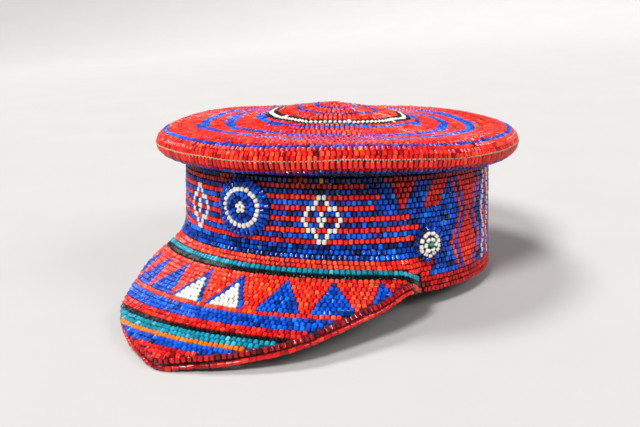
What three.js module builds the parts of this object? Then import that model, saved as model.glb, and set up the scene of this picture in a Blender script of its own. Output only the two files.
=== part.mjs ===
// Peaked cap covered in glass seed beads: a wide round crown, a flared band and a long visor.
// Millimetres, +Z up. The wearer faces -Y, and +X is the wearer's left.
// The cap stands by itself, on the front of its visor and the back of its hem.
import * as THREE from 'three';

// Band and hem
const hemRadius = 93;
const bandTopRadius = 90.8;
const bandHeight = 62;
const bandWall = 3.2;

// Outer surface of the crown's top, from its centre over the rolled rim to the seam at its widest
const crownTop = [
  { radius: 0, height: 94.4 },
  { radius: 12, height: 92.4 },
  { radius: 24, height: 90.3 },
  { radius: 38, height: 87.8 },
  { radius: 50, height: 84.6 },
  { radius: 64, height: 82.2 },
  { radius: 78, height: 81.7 },
  { radius: 90, height: 82.0 },
  { radius: 98, height: 81.8 },
  { radius: 103.2, height: 80.2 },
  { radius: 106.4, height: 77.0 },
  { radius: 107.5, height: 73.4 },
];
// Outer surface of the crown's underside, from the seam to the band
const crownUnderside = [
  { radius: 107.5, height: 73.1 },
  { radius: 106.6, height: 69.6 },
  { radius: 103.6, height: 66.6 },
  { radius: 98, height: 64.3 },
  { radius: 92.4, height: 62.6 },
];
const crownWall = 3;
const crownSeat = 0.3;
const crownSeatRadius = 91.6;
const crownMouthRadius = 87.4;
const rimWaveHeight = 0.7;
const rimWaveCount = 5;
const rimWaveStart = 94;
const rimWaveBlend = 8;
const dentDepth = 2.2;
const dentRadius = 9;
const dentPlace = { x: 12, y: 9 };
// The crown isn't level. It sags at the wearer's left front and is lifted at the right back, and
// the plate inside its rim is canted the other way, up towards the right front.
const sagAngle = 30.5;
const sagDepth = 1.2;
const liftHeight = 6;
const liftStart = -0.4;
const liftSpan = 1.1;
const cantHeight = 4;
const undersideLiftStart = 92;
const undersideLiftSpan = 12;

// Flare from the band into the visor, in lengths along the surface from the top of the band
const flareStart = 30.7;
const flareLength = 17.9;
const visorHalfAngle = 60;
const flareFadeAngle = 48.4;

// Slope of the visor below the horizontal, in degrees: where the flare ends, and 60 mm further out.
// The side terms make its ends steeper, and the skew makes the wearer's right side droop a little.
const innerSlope = { front: 31.7, side: 7.1, skew: -6.4 };
const outerSlope = { front: 18.5, side: 6.3 };
const slopeSpan = 60;
const slopeReach = 1.2;

// Seam between the band and the visor, along the surface
const seamAtFront = 47;
const seamSide = 6.1;
const seamEndStart = 54;
const seamEndAngle = 61;
const seamGap = 0.8;

// Length of the surface from the top of the band to the bottom of the visor's edge
const visorEdge = [
  { angle: 0, length: 123.1 },
  { angle: 6, length: 118.2 },
  { angle: 12, length: 112.7 },
  { angle: 18, length: 106.2 },
  { angle: 24, length: 98.9 },
  { angle: 30, length: 89.5 },
  { angle: 36, length: 81 },
  { angle: 42, length: 74.1 },
  { angle: 48, length: 66.4 },
  { angle: 54, length: bandHeight },
];
const visorWall = 2.8;
const curlLength = 6.8;
const curlArc = 3.5;
const frontLip = 2.4;
const frontLipAngle = 24;

// Bead strand that finishes the visor's edge
const strandDiameter = 2.7;
const strandGap = 0.8;
const strandEndAngle = 51;
const lipDropAngle = 3;
const slantStep = 1.5;

// Ornaments on the band, placed by angle from the front and by distance from the top of the band
const badge = { angle: -1.2, along: 16.7, halfWidth: 16.4, halfHeight: 15.4, edge: 1.6, dome: 3.2 };
const rosette = { along: 36, halfWidth: 9, halfHeight: 9, edge: 1.6, dome: 4.2 };
const rosetteAngles = { left: 61, right: -68 };
const ornamentGap = 0.5;

// Rings of an ornament from its back face to the top of its dome: how far out each one reaches,
// and how much of the edge and of the dome above it lie below it
const ornamentRings = [
  { reach: 0.5, edge: 0, dome: 0 },
  { reach: 1, edge: 0, dome: 0 },
  { reach: 1, edge: 1, dome: 0 },
  { reach: 0.8, edge: 1, dome: 0.55 },
  { reach: 0.45, edge: 1, dome: 1 },
];

// The cap leans back until the visor's edge and the hem share one floor
const restTilt = 4.21;

// Faceting
const backStep = 5;
const frontSteps = 40;
const frontEndAngle = 59;
const roundSegments = 80;
const profileStep = 0.5;
const flareRows = 5;
const plateRows = 5;
const lipRows = 4;
const strandStops = 34;
const strandSides = 4;
const strandSteps = 56;
const ornamentSides = 28;

const toRadians = THREE.MathUtils.degToRad;

function smoothStep(value) {
  const share = Math.min(1, Math.max(0, value));
  return share * share * (3 - 2 * share);
}

// A smooth curve through the rows of visorEdge, level at the front and at both ends
function edgeLength(angle) {
  const size = Math.abs(angle);
  const last = visorEdge.length - 1;
  if (size >= visorEdge[last].angle) return bandHeight;
  const start = visorEdge.findIndex((row, index) => size < visorEdge[index + 1].angle);
  const slopeOf = (index) => {
    if (index === 0 || index === last) return 0;
    const rise = visorEdge[index + 1].length - visorEdge[index - 1].length;
    return rise / (visorEdge[index + 1].angle - visorEdge[index - 1].angle);
  };
  const low = visorEdge[start];
  const high = visorEdge[start + 1];
  const span = high.angle - low.angle;
  const share = (size - low.angle) / span;
  const ease = smoothStep(share);
  const leaving = share * (1 - share) ** 2 * span * slopeOf(start);
  const arriving = share ** 2 * (share - 1) * span * slopeOf(start + 1);
  return low.length * (1 - ease) + high.length * ease + leaving + arriving;
}

// The part of the edge that turns down, longer at the front than at the sides
function curlLengthAt(angle) {
  return curlLength + frontLip * Math.max(0, 1 - (angle / frontLipAngle) ** 2);
}

function seamLength(angle) {
  const size = Math.abs(angle);
  const along = seamAtFront + seamSide * (size / visorHalfAngle) ** 2;
  const drop = smoothStep((size - seamEndStart) / (seamEndAngle - seamEndStart));
  return along + (bandHeight - along) * drop;
}

// Slope of the outer surface below the horizontal, in radians, at a length along it
function slopeAt(angle, along) {
  const turn = angle / visorHalfAngle;
  const inner = innerSlope.front + innerSlope.side * turn ** 2 + innerSlope.skew * turn;
  const outer = outerSlope.front + outerSlope.side * turn ** 2;
  const beyond = along - flareStart - flareLength;
  const plate = inner + (outer - inner) * Math.min(slopeReach, Math.max(0, beyond / slopeSpan));
  const flared = 90 - (90 - plate) * smoothStep((along - flareStart) / flareLength);
  const fade = smoothStep((visorHalfAngle - Math.abs(angle)) / (visorHalfAngle - flareFadeAngle));
  const open = 90 - fade * (90 - flared);
  const curl = (along - edgeLength(angle) + curlLengthAt(angle)) / curlArc;
  const share = Math.min(1, Math.max(0, curl));
  return toRadians(open + (90 - open) * share);
}

// Radius, height and slope of the outer surface, every profileStep along it
function profileAt(angle) {
  const rows = [{ radius: bandTopRadius, height: bandHeight, slope: slopeAt(angle, 0) }];
  const lean = (hemRadius - bandTopRadius) / bandHeight;
  const count = Math.ceil(edgeLength(angle) / profileStep) + 2;
  for (let index = 1; index <= count; index += 1) {
    const along = index * profileStep;
    const slope = slopeAt(angle, along - profileStep / 2);
    const last = rows[index - 1];
    const spread = along <= bandHeight ? lean * profileStep : 0;
    rows.push({
      radius: last.radius + Math.cos(slope) * profileStep + spread,
      height: last.height - Math.sin(slope) * profileStep,
      slope: slopeAt(angle, along),
    });
  }
  return rows;
}

// A point on the shell: an angle from the front, a length along the surface and a depth below it
function shellPoint(angle, along, depth) {
  const rows = profileAt(angle);
  const place = Math.min(rows.length - 1.001, along / profileStep);
  const index = Math.floor(place);
  const share = place - index;
  const low = rows[index];
  const high = rows[index + 1];
  const slope = low.slope + (high.slope - low.slope) * share;
  const radius = low.radius + (high.radius - low.radius) * share - depth * Math.sin(slope);
  const height = low.height + (high.height - low.height) * share - depth * Math.cos(slope);
  const turn = toRadians(angle);
  return new THREE.Vector3(radius * Math.sin(turn), -radius * Math.cos(turn), height);
}

function signedVolume(geometry) {
  const position = geometry.attributes.position;
  const index = geometry.index;
  const corners = [new THREE.Vector3(), new THREE.Vector3(), new THREE.Vector3()];
  let volume = 0;
  for (let start = 0; start < index.count; start += 3) {
    corners.forEach((corner, k) => corner.fromBufferAttribute(position, index.getX(start + k)));
    volume += corners[0].dot(corners[1].cross(corners[2])) / 6;
  }
  return volume;
}

function faceOutwards(geometry) {
  if (signedVolume(geometry) < 0) {
    const order = Array.from(geometry.index.array);
    geometry.setIndex(order.reverse());
  }
  geometry.computeVertexNormals();
  return geometry;
}

// A closed body through loops of equal length: wrapped into a ring, or closed by a fan at each end
function bodyThrough(loops, wrapped) {
  const size = loops[0].length;
  const points = loops.flat();
  const faces = [];
  const spans = wrapped ? loops.length : loops.length - 1;
  for (let row = 0; row < spans; row += 1) {
    const here = row * size;
    const there = ((row + 1) % loops.length) * size;
    for (let k = 0; k < size; k += 1) {
      const next = (k + 1) % size;
      faces.push(here + k, here + next, there + next, here + k, there + next, there + k);
    }
  }
  if (!wrapped) {
    const lastStart = (loops.length - 1) * size;
    const firstCentre = loops[0].reduce((sum, p) => sum.add(p), new THREE.Vector3());
    const lastCentre = loops.at(-1).reduce((sum, p) => sum.add(p), new THREE.Vector3());
    points.push(firstCentre.divideScalar(size), lastCentre.divideScalar(size));
    for (let k = 0; k < size; k += 1) {
      const next = (k + 1) % size;
      faces.push(points.length - 2, next, k);
      faces.push(points.length - 1, lastStart + k, lastStart + next);
    }
  }
  const geometry = new THREE.BufferGeometry();
  geometry.setAttribute('position', new THREE.Float32BufferAttribute(points.flatMap((p) => p.toArray()), 3));
  geometry.setIndex(faces);
  return faceOutwards(geometry);
}

// A section of a wall: down the outer face through the given lengths, and back up the inner face
function wallSection(angle, lengths, wall) {
  const outer = lengths.map((along) => shellPoint(angle, along, 0));
  const inner = lengths.map((along) => shellPoint(angle, along, wall)).reverse();
  return [...outer, ...inner];
}

function spread(start, end, steps) {
  return Array.from({ length: steps + 1 }, (_, index) => start + ((end - start) * index) / steps);
}

function frontAngles() {
  return spread(-frontEndAngle, frontEndAngle, frontSteps);
}

function makeBand() {
  const backSteps = Math.round((360 - 2 * frontEndAngle) / backStep);
  const back = spread(frontEndAngle, 360 - frontEndAngle, backSteps).slice(1, -1);
  const angles = [...frontAngles(), ...back.map((angle) => (angle > 180 ? angle - 360 : angle))];
  const loops = angles.map((angle) => {
    const lengths = [0, flareStart / 2, ...spread(flareStart, seamLength(angle), flareRows)];
    return wallSection(angle, lengths, bandWall);
  });
  return bodyThrough(loops, true);
}

// How much longer the edge is than the arc below it, where it runs slantwise across the visor
function edgeStretch(angle) {
  const here = shellPoint(angle, edgeLength(angle), 0);
  const arc = Math.hypot(here.x, here.y) * toRadians(2 * slantStep);
  const climb = edgeLength(angle + slantStep) - edgeLength(angle - slantStep);
  return Math.hypot(1, climb / arc);
}

// The wall stops short of the strand, and reaches the floor of the hem beyond its ends
function lipLength(angle) {
  const trim = (strandDiameter + strandGap) * edgeStretch(angle);
  const drop = smoothStep((Math.abs(angle) - strandEndAngle - 1) / lipDropAngle);
  return edgeLength(angle) - trim * (1 - drop);
}

function makeVisor() {
  const loops = frontAngles().map((angle) => {
    const start = seamLength(angle) + seamGap;
    const end = lipLength(angle);
    const bend = Math.max((start + end) / 2, edgeLength(angle) - curlLengthAt(angle));
    const lengths = [...spread(start, bend, plateRows), ...spread(bend, end, lipRows).slice(1)];
    return wallSection(angle, lengths, visorWall);
  });
  return bodyThrough(loops, false);
}

function makeStrand() {
  const stops = spread(-strandEndAngle, strandEndAngle, strandStops);
  const centres = stops.map((angle) => {
    const along = edgeLength(angle) - (strandDiameter / 2) * edgeStretch(angle);
    return shellPoint(angle, along, visorWall / 2);
  });
  const path = new THREE.CatmullRomCurve3(centres);
  const section = new THREE.Shape();
  section.absarc(0, 0, strandDiameter / 2, 0, Math.PI * 2);
  return new THREE.ExtrudeGeometry(section, {
    steps: strandSteps,
    curveSegments: strandSides,
    extrudePath: path,
  });
}

// How far the crown stands out of level at a place
function crownLift(x, y) {
  const rimRadius = crownTop.at(-1).radius;
  const sag = THREE.MathUtils.degToRad(sagAngle);
  const away = (y * Math.cos(sag) - x * Math.sin(sag)) / rimRadius;
  const aside = -(x * Math.cos(sag) + y * Math.sin(sag)) / rimRadius;
  const inward = 1 - (x * x + y * y) / (rimRadius * rimRadius);
  const lift = liftHeight * smoothStep((away - liftStart) / liftSpan) - sagDepth;
  return lift + cantHeight * aside * inward;
}

function crownHeightChange(x, y, liftShare) {
  const radius = Math.hypot(x, y);
  const wave = Math.sin(rimWaveCount * Math.atan2(y, x));
  const rim = smoothStep((radius - rimWaveStart) / rimWaveBlend);
  const apart = Math.hypot(x - dentPlace.x, y - dentPlace.y) / dentRadius;
  const dent = dentDepth * Math.exp(-apart * apart);
  return rimWaveHeight * wave * rim - dent + crownLift(x, y) * liftShare;
}

// The crown's inner face follows the rows of its outer one, one wall thickness in, and runs back
function innerFace(rows) {
  const inner = [];
  for (let index = rows.length - 2; index > 0; index -= 1) {
    const before = rows[index - 1];
    const after = rows[index + 1];
    const along = new THREE.Vector2(after.radius - before.radius, after.height - before.height);
    along.normalize();
    inner.push({
      radius: rows[index].radius + along.y * crownWall,
      height: rows[index].height - along.x * crownWall,
    });
  }
  return inner;
}

// Turns an outline round the cap's axis and takes it out of level by its share at each radius
function turnedCrown(stations, liftShareAt) {
  const outline = stations.map((row) => new THREE.Vector2(row.radius, row.height));
  const geometry = new THREE.LatheGeometry(outline, roundSegments);
  geometry.rotateX(Math.PI / 2);
  const position = geometry.attributes.position;
  for (let index = 0; index < position.count; index += 1) {
    const x = position.getX(index);
    const y = position.getY(index);
    const change = crownHeightChange(x, y, liftShareAt(Math.hypot(x, y)));
    position.setZ(index, position.getZ(index) + change);
  }
  return faceOutwards(geometry);
}

function makeCrownTop() {
  const rim = crownTop.at(-1);
  const lip = { radius: rim.radius - crownWall, height: rim.height };
  const ceiling = { radius: 0, height: crownTop[0].height - crownWall };
  return turnedCrown([...crownTop, lip, ...innerFace(crownTop), ceiling], () => 1);
}

function makeCrownUnderside() {
  const rim = crownUnderside[0];
  const floor = bandHeight + crownSeat;
  const mouth = [
    { radius: crownSeatRadius, height: floor },
    { radius: crownMouthRadius, height: floor },
    { radius: crownMouthRadius, height: floor + crownWall },
  ];
  const lip = { radius: rim.radius - crownWall, height: rim.height };
  const outline = [...crownUnderside, ...mouth, ...innerFace(crownUnderside), lip, rim];
  const liftShareAt = (radius) => smoothStep((radius - undersideLiftStart) / undersideLiftSpan);
  return turnedCrown(outline, liftShareAt);
}

// A domed boss that follows the band, between a back face near the band and a domed front
function makeOrnament(piece, middleAngle) {
  const around = spread(0, Math.PI * 2, ornamentSides).slice(0, -1);
  const loops = ornamentRings.map((ring) => around.map((turn) => {
    const across = piece.halfWidth * ring.reach * Math.cos(turn);
    const down = piece.halfHeight * ring.reach * Math.sin(turn);
    const lift = piece.edge * ring.edge + (piece.dome - piece.edge) * ring.dome;
    const angle = middleAngle + THREE.MathUtils.radToDeg(across / hemRadius);
    return shellPoint(angle, piece.along + down, -(ornamentGap + lift));
  }));
  return bodyThrough(loops, false);
}

function addPiece(group, name, geometry, color, roughness) {
  const material = new THREE.MeshStandardMaterial({ color, roughness, metalness: 0 });
  const mesh = new THREE.Mesh(geometry, material);
  mesh.name = name;
  group.add(mesh);
}

const beadRoughness = 0.35;
const cap = new THREE.Group();
addPiece(cap, 'crown_top', makeCrownTop(), 0xc4201b, beadRoughness);
addPiece(cap, 'crown_underside', makeCrownUnderside(), 0xb01a1a, beadRoughness);
addPiece(cap, 'band', makeBand(), 0x1b3fae, beadRoughness);
addPiece(cap, 'visor', makeVisor(), 0xd02a20, beadRoughness);
addPiece(cap, 'visor_edge_strand', makeStrand(), 0x9c1420, beadRoughness);
addPiece(cap, 'badge', makeOrnament(badge, badge.angle), 0x2050c8, beadRoughness);
addPiece(cap, 'rosette_left', makeOrnament(rosette, rosetteAngles.left), 0xe8e6e0, beadRoughness);
addPiece(cap, 'rosette_right', makeOrnament(rosette, rosetteAngles.right), 0xe8e6e0, beadRoughness);

// The origin is under the middle of the cap, on the floor that it stands on
const stand = new THREE.Group();
cap.rotation.x = toRadians(-restTilt);
stand.add(cap);
stand.updateMatrixWorld(true);
const reach = new THREE.Box3().setFromObject(stand, true);
const middle = reach.getCenter(new THREE.Vector3());
cap.position.set(-middle.x, -middle.y, -reach.min.z);

export default stand;
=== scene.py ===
# %% [markdown]
# # A peaked cap covered in glass seed beads
# The real cap is a stiff canvas shell. Round glass beads of about 2.7 mm are stitched over all of it
# in rows, so that what the eye sees is thousands of small glossy cylinders with dark gaps and a
# little pale thread between them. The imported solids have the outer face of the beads. This lesson
# lays the single beads under that face, row by row, and puts the canvas under the beads.

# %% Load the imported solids
import math
import bpy
import numpy as np
from mathutils import Matrix, Vector


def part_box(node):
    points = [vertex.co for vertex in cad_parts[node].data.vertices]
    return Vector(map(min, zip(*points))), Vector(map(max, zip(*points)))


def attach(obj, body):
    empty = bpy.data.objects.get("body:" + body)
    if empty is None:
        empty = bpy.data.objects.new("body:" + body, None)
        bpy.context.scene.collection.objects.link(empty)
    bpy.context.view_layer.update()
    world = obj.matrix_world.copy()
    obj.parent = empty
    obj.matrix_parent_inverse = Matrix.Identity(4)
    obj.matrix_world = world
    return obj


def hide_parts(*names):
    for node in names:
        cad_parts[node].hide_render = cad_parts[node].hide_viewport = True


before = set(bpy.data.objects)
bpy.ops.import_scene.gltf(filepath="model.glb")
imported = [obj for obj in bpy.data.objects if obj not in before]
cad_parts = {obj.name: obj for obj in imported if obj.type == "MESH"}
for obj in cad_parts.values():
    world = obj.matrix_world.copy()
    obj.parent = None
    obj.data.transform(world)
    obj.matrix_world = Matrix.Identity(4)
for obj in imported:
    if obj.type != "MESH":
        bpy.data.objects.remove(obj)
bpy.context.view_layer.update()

draws = np.random.default_rng(seed=7)

# %% [markdown]
# ## The cap's own frame
# Every size below is in millimetres in the frame of the worn cap: its hem is level at height 0, the
# visor points along -Y, and an angle is counted from the front towards the wearer's left. The cap
# rests leaning back on the visor's edge and the hem. The box of the band says where that puts it, so
# one matrix takes each finished mesh to its place.

# %% From the worn frame to the resting one
MM = 0.001
REST_TILT = math.radians(4.21)
HEM_RADIUS = 93
BAND_TOP_RADIUS = 90.8
BAND_HEIGHT = 62

lean = Matrix.Rotation(-REST_TILT, 3, "X")
band_low, band_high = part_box("band")
front_top = lean @ Vector((0, -BAND_TOP_RADIUS, BAND_HEIGHT)) * MM
back_top = lean @ Vector((0, BAND_TOP_RADIUS, BAND_HEIGHT)) * MM
seat = Vector(((band_low.x + band_high.x) / 2, band_high.y - back_top.y, band_high.z - front_top.z))
to_rest = Matrix.Translation(seat) @ (lean * MM).to_4x4()
print("the middle of the hem rests at", [round(v, 4) for v in seat])

# %% [markdown]
# ## The shape of the band and the visor
# Seen from the side, the outer face starts at the top of the band and runs down. At the front it
# flares outwards and goes on as the visor, and near the visor's edge it turns down again. The flare
# fades out at the sides, so no one profile could be spun into it. Instead a slope for each angle and
# each length along that face says all of it, and adding up small steps gives the radius and the
# height. The same functions later tell every bead where it sits and which way is out.

# %% Length of the face down to the visor's edge
# The lengths are for the angles 0, 6, 12 and so on from the front, and the edge is alike on each side.
EDGE_ANGLES = np.arange(0, 55, 6)
EDGE_LENGTHS = np.array([123.1, 118.2, 112.7, 106.2, 98.9, 89.5, 81, 74.1, 66.4, BAND_HEIGHT])


def smooth_step(value):
    share = np.clip(value, 0, 1)
    return share * share * (3 - 2 * share)


def edge_length(angle):
    """Length of the face from the top of the band to the bottom of the visor's edge."""
    size = np.minimum(np.abs(angle), EDGE_ANGLES[-1])
    climb = np.zeros(len(EDGE_LENGTHS))
    climb[1:-1] = (EDGE_LENGTHS[2:] - EDGE_LENGTHS[:-2]) / (EDGE_ANGLES[2:] - EDGE_ANGLES[:-2])
    span = EDGE_ANGLES[1]
    start = np.minimum(size // span, len(EDGE_LENGTHS) - 2).astype(int)
    share = size / span - start
    ease = smooth_step(share)
    bow = share * (1 - share) ** 2 * climb[start] + share**2 * (share - 1) * climb[start + 1]
    return EDGE_LENGTHS[start] * (1 - ease) + EDGE_LENGTHS[start + 1] * ease + bow * span


print("the face is", edge_length(np.array([0.0]))[0], "mm long at the front")

# %% Slopes of the outer face
FLARE_START = 30.7
FLARE_LENGTH = 17.9
VISOR_HALF_ANGLE = 60
FLARE_FADE_ANGLE = 48.4
INNER_SLOPE = {"front": 31.7, "side": 7.1, "skew": -6.4}
OUTER_SLOPE = {"front": 18.5, "side": 6.3}
SLOPE_SPAN = 60
SLOPE_REACH = 1.2
CURL_LENGTH = 6.8
CURL_ARC = 3.5
FRONT_LIP = 2.4
FRONT_LIP_ANGLE = 24


def slope_at(angle, along):
    """Slope of the face below the horizontal, in radians."""
    turn = angle / VISOR_HALF_ANGLE
    inner = INNER_SLOPE["front"] + INNER_SLOPE["side"] * turn**2 + INNER_SLOPE["skew"] * turn
    outer = OUTER_SLOPE["front"] + OUTER_SLOPE["side"] * turn**2
    beyond = np.clip((along - FLARE_START - FLARE_LENGTH) / SLOPE_SPAN, 0, SLOPE_REACH)
    plate = inner + (outer - inner) * beyond
    flared = 90 - (90 - plate) * smooth_step((along - FLARE_START) / FLARE_LENGTH)
    fade = smooth_step((VISOR_HALF_ANGLE - np.abs(angle)) / (VISOR_HALF_ANGLE - FLARE_FADE_ANGLE))
    open_slope = 90 - fade * (90 - flared)
    lip = CURL_LENGTH + FRONT_LIP * np.maximum(0, 1 - (angle / FRONT_LIP_ANGLE) ** 2)
    curl = np.clip((along - edge_length(angle) + lip) / CURL_ARC, 0, 1)
    return np.radians(open_slope + (90 - open_slope) * curl)


# %% A table of the face
ANGLE_STEP = 1.0
LENGTH_STEP = 0.5
TABLE_LENGTH = 130
angles = np.arange(-180, 180 + ANGLE_STEP, ANGLE_STEP)
lengths = np.arange(0, TABLE_LENGTH, LENGTH_STEP)
slopes = slope_at(angles[:, None], lengths[None, :])
middles = slope_at(angles[:, None], lengths[None, 1:] - LENGTH_STEP / 2)
wall_lean = (HEM_RADIUS - BAND_TOP_RADIUS) / BAND_HEIGHT * (lengths[1:] <= BAND_HEIGHT)
steps_out = (np.cos(middles) + wall_lean) * LENGTH_STEP
radii = BAND_TOP_RADIUS + np.pad(np.cumsum(steps_out, axis=1), ((0, 0), (1, 0)))
heights = BAND_HEIGHT - np.pad(np.cumsum(np.sin(middles) * LENGTH_STEP, axis=1), ((0, 0), (1, 0)))


def from_table(table, angle, along):
    """Reads a table between its lines."""
    column = (angle + 180) / ANGLE_STEP
    row = along / LENGTH_STEP
    left = np.clip(np.floor(column).astype(int), 0, len(angles) - 2)
    top = np.clip(np.floor(row).astype(int), 0, len(lengths) - 2)
    across, down = column - left, row - top
    upper = table[left, top] * (1 - across) + table[left + 1, top] * across
    lower = table[left, top + 1] * (1 - across) + table[left + 1, top + 1] * across
    return upper * (1 - down) + lower * down


# %% Points on the band and the visor
def around(angle, radius, height):
    turn = np.radians(angle)
    return np.stack([radius * np.sin(turn), -radius * np.cos(turn), height], axis=-1)


def wall_point(angle, along, depth=0.0):
    """Points at a depth below the outer face of the band and visor."""
    angle = np.asarray(angle, float)
    angle, along = np.broadcast_arrays((angle + 180) % 360 - 180, np.asarray(along, float))
    slope = from_table(slopes, angle, along)
    radius = from_table(radii, angle, along) - depth * np.sin(slope)
    height = from_table(heights, angle, along) - depth * np.cos(slope)
    return around(angle, radius, height)


print("tip of the visor", wall_point(0, EDGE_LENGTHS[0]).round(1))

# %% [markdown]
# ## The shape of the crown
# The crown is turned: a low mound in the middle, a flat ring, a rolled rim and an underside that
# slopes in to the band. A slow wave in the rim and one dent beside the mound keep it from looking
# machined, and the whole of it is out of level: it sags at the wearer's left front and is lifted at
# the right back. A spun profile could be bent to that with a lattice, but a function does it in one
# step and can be asked for any point. Lengths are again counted along the face.

# %% Crown outlines
# Each stop is a radius and a height. The top goes from the middle to the seam on the rim, and the
# underside goes on from the seam to the band.
CROWN_TOP = np.array([
    (0, 94.4), (12, 92.4), (24, 90.3), (38, 87.8), (50, 84.6), (64, 82.2), (78, 81.7),
    (90, 82.0), (98, 81.8), (103.2, 80.2), (106.4, 77.0), (107.5, 73.4),
])
CROWN_UNDERSIDE = np.array([
    (107.5, 73.1), (106.6, 69.6), (103.6, 66.6), (98, 64.3), (92.4, 62.6),
])
EASE_REACH = 1.5
TINY = 1e-9


def run_lengths(outline):
    return np.concatenate([[0], np.cumsum(np.hypot(*np.diff(outline, axis=0).T))])


def crown_profile(outline, along):
    """Radius and height at lengths along an outline with eased corners, and the way along it."""
    run = run_lengths(outline)
    stops = [np.clip(along + step, 0, run[-1]) for step in (-EASE_REACH, 0, EASE_REACH)]
    at_an_end = stops[2] - stops[0] < 2 * EASE_REACH
    eased, climbs = [], []
    for column in outline.T:
        before, here, after = [np.interp(stop, run, column) for stop in stops]
        eased.append(np.where(at_an_end, here, here * 0.5 + (before + after) * 0.25))
        climbs.append(after - before)
    way = np.stack(climbs)
    return *eased, way / np.maximum(np.hypot(*way), TINY)


top_run = run_lengths(CROWN_TOP)[-1]
under_run = run_lengths(CROWN_UNDERSIDE)[-1]
print("crown: top", round(top_run, 1), "mm and underside", round(under_run, 1), "mm along the face")

# %% Points on the crown
AXIS_GAP = 0.001
RIM_WAVE = {"height": 0.7, "count": 5, "start": 94, "blend": 8}
DENT = {"depth": 2.2, "radius": 9, "x": 12, "y": 9}
SAG_ANGLE = 30.5
SAG_DEPTH = 1.2
LIFT = {"height": 6, "start": -0.4, "span": 1.1, "cant": 4}
UNDERSIDE_LIFT = {"start": 92, "span": 12}


def crown_lift(x, y):
    """How far the crown stands out of level at a place."""
    sag = math.radians(SAG_ANGLE)
    rim_radius = CROWN_TOP[-1, 0]
    away = (y * math.cos(sag) - x * math.sin(sag)) / rim_radius
    aside = -(x * math.cos(sag) + y * math.sin(sag)) / rim_radius
    inward = 1 - (x**2 + y**2) / rim_radius**2
    lift = LIFT["height"] * smooth_step((away - LIFT["start"]) / LIFT["span"]) - SAG_DEPTH
    return lift + LIFT["cant"] * aside * inward


def crown_face(outline, angle, along, depth=0.0):
    """Points at a depth below an outline that is turned round the cap's axis."""
    angle, along = np.broadcast_arrays(np.asarray(angle, float), np.asarray(along, float))
    radius, height, way = crown_profile(outline, along)
    place = around(angle, np.maximum(radius + way[1] * depth, AXIS_GAP), height - way[0] * depth)
    x, y = place[..., 0], place[..., 1]
    reach = np.hypot(x, y)
    wave = np.sin(RIM_WAVE["count"] * np.arctan2(y, x))
    wave = wave * RIM_WAVE["height"] * smooth_step((reach - RIM_WAVE["start"]) / RIM_WAVE["blend"])
    apart = np.hypot(x - DENT["x"], y - DENT["y"]) / DENT["radius"]
    lift = crown_lift(x, y)
    if outline is CROWN_UNDERSIDE:
        lift = lift * smooth_step((reach - UNDERSIDE_LIFT["start"]) / UNDERSIDE_LIFT["span"])
    place[..., 2] += wave + lift - DENT["depth"] * np.exp(-(apart**2))
    return place


def top_face(angle, along, depth):
    return crown_face(CROWN_TOP, angle, along, depth)


def under_face(angle, along, depth):
    return crown_face(CROWN_UNDERSIDE, angle, along, depth)


print("peak of the crown", top_face(0.0, 0.0, 0.0).round(1))

# %% [markdown]
# ## One bead
# A seed bead is a short length of drawn glass tube, tumbled in a hot drum until its ends are round.
# It could be a ball or a torus, but cut tube has straight sides and that is what catches the light.
# So it is modelled once as an eight-sided cylinder whose two end faces are inset and raised in edit
# mode, which leaves a chamfer round each. At sixty triangles, thousands of copies stay light.

# %% Model the bead
BEAD_SIDES = 8
BEAD_ROUNDING = 0.13
FACES_AN_END = 0.9


def start_fresh():
    if bpy.context.object and bpy.context.object.mode != "OBJECT":
        bpy.ops.object.mode_set(mode="OBJECT")
    bpy.ops.object.select_all(action="DESELECT")


start_fresh()
bpy.ops.mesh.primitive_cylinder_add(vertices=BEAD_SIDES, radius=0.5, depth=1 - 2 * BEAD_ROUNDING)
bead = bpy.context.object
bpy.ops.object.mode_set(mode="EDIT")
bpy.ops.mesh.select_mode(type="FACE")
bpy.ops.mesh.select_all(action="DESELECT")
bpy.ops.object.mode_set(mode="OBJECT")
for face in bead.data.polygons:
    face.select = abs(face.normal.z) > FACES_AN_END
bpy.ops.object.mode_set(mode="EDIT")
bpy.ops.mesh.inset(thickness=BEAD_ROUNDING, depth=BEAD_ROUNDING, use_individual=True)
bpy.ops.object.mode_set(mode="OBJECT")
bead_points = np.array([v.co for v in bead.data.vertices])
bead_corners = np.concatenate([list(face.vertices) for face in bead.data.polygons])
bead_sizes = np.array([len(face.vertices) for face in bead.data.polygons])
bpy.data.objects.remove(bead)
BEAD_TRIANGLES = int((bead_sizes - 2).sum())
print("one bead has", BEAD_TRIANGLES, "triangles")

# %% [markdown]
# ## Many beads as one mesh
# A piece of beadwork is a list of beads, and each bead is a place, three directions, a size, a colour
# and a tone. The directions are along the row, out of the cloth and along the hole, and the order of
# the first and the last says which way is out: a wrong order would turn every bead inside out. Beads
# are stitched on by hand, so each is a little off its place, its direction and the common size. One
# array step copies the modelled bead to all of them and joins the copies, which is far quicker than
# placing objects. Two values are stored for the glass: the bead's tone, and how near a point lies to
# the cloth, where real beads hold a little dust and where the glass gets painted shade in the gaps.

# %% Lists of beads
BEAD_WIDTH = 2.42
BEAD_LENGTH = 2.52
BEAD_DEPTH = 1.35
UNEVEN = {"tilt": 0.055, "shift": 0.085, "width": 0.04, "length": 0.05, "height": 0.02}
RED, BLUE, WHITE, BLACK, TEAL, ORANGE, GREEN, GOLD = range(8)


def unit(vectors):
    return vectors / np.maximum(np.linalg.norm(vectors, axis=-1, keepdims=True), TINY)


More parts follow.
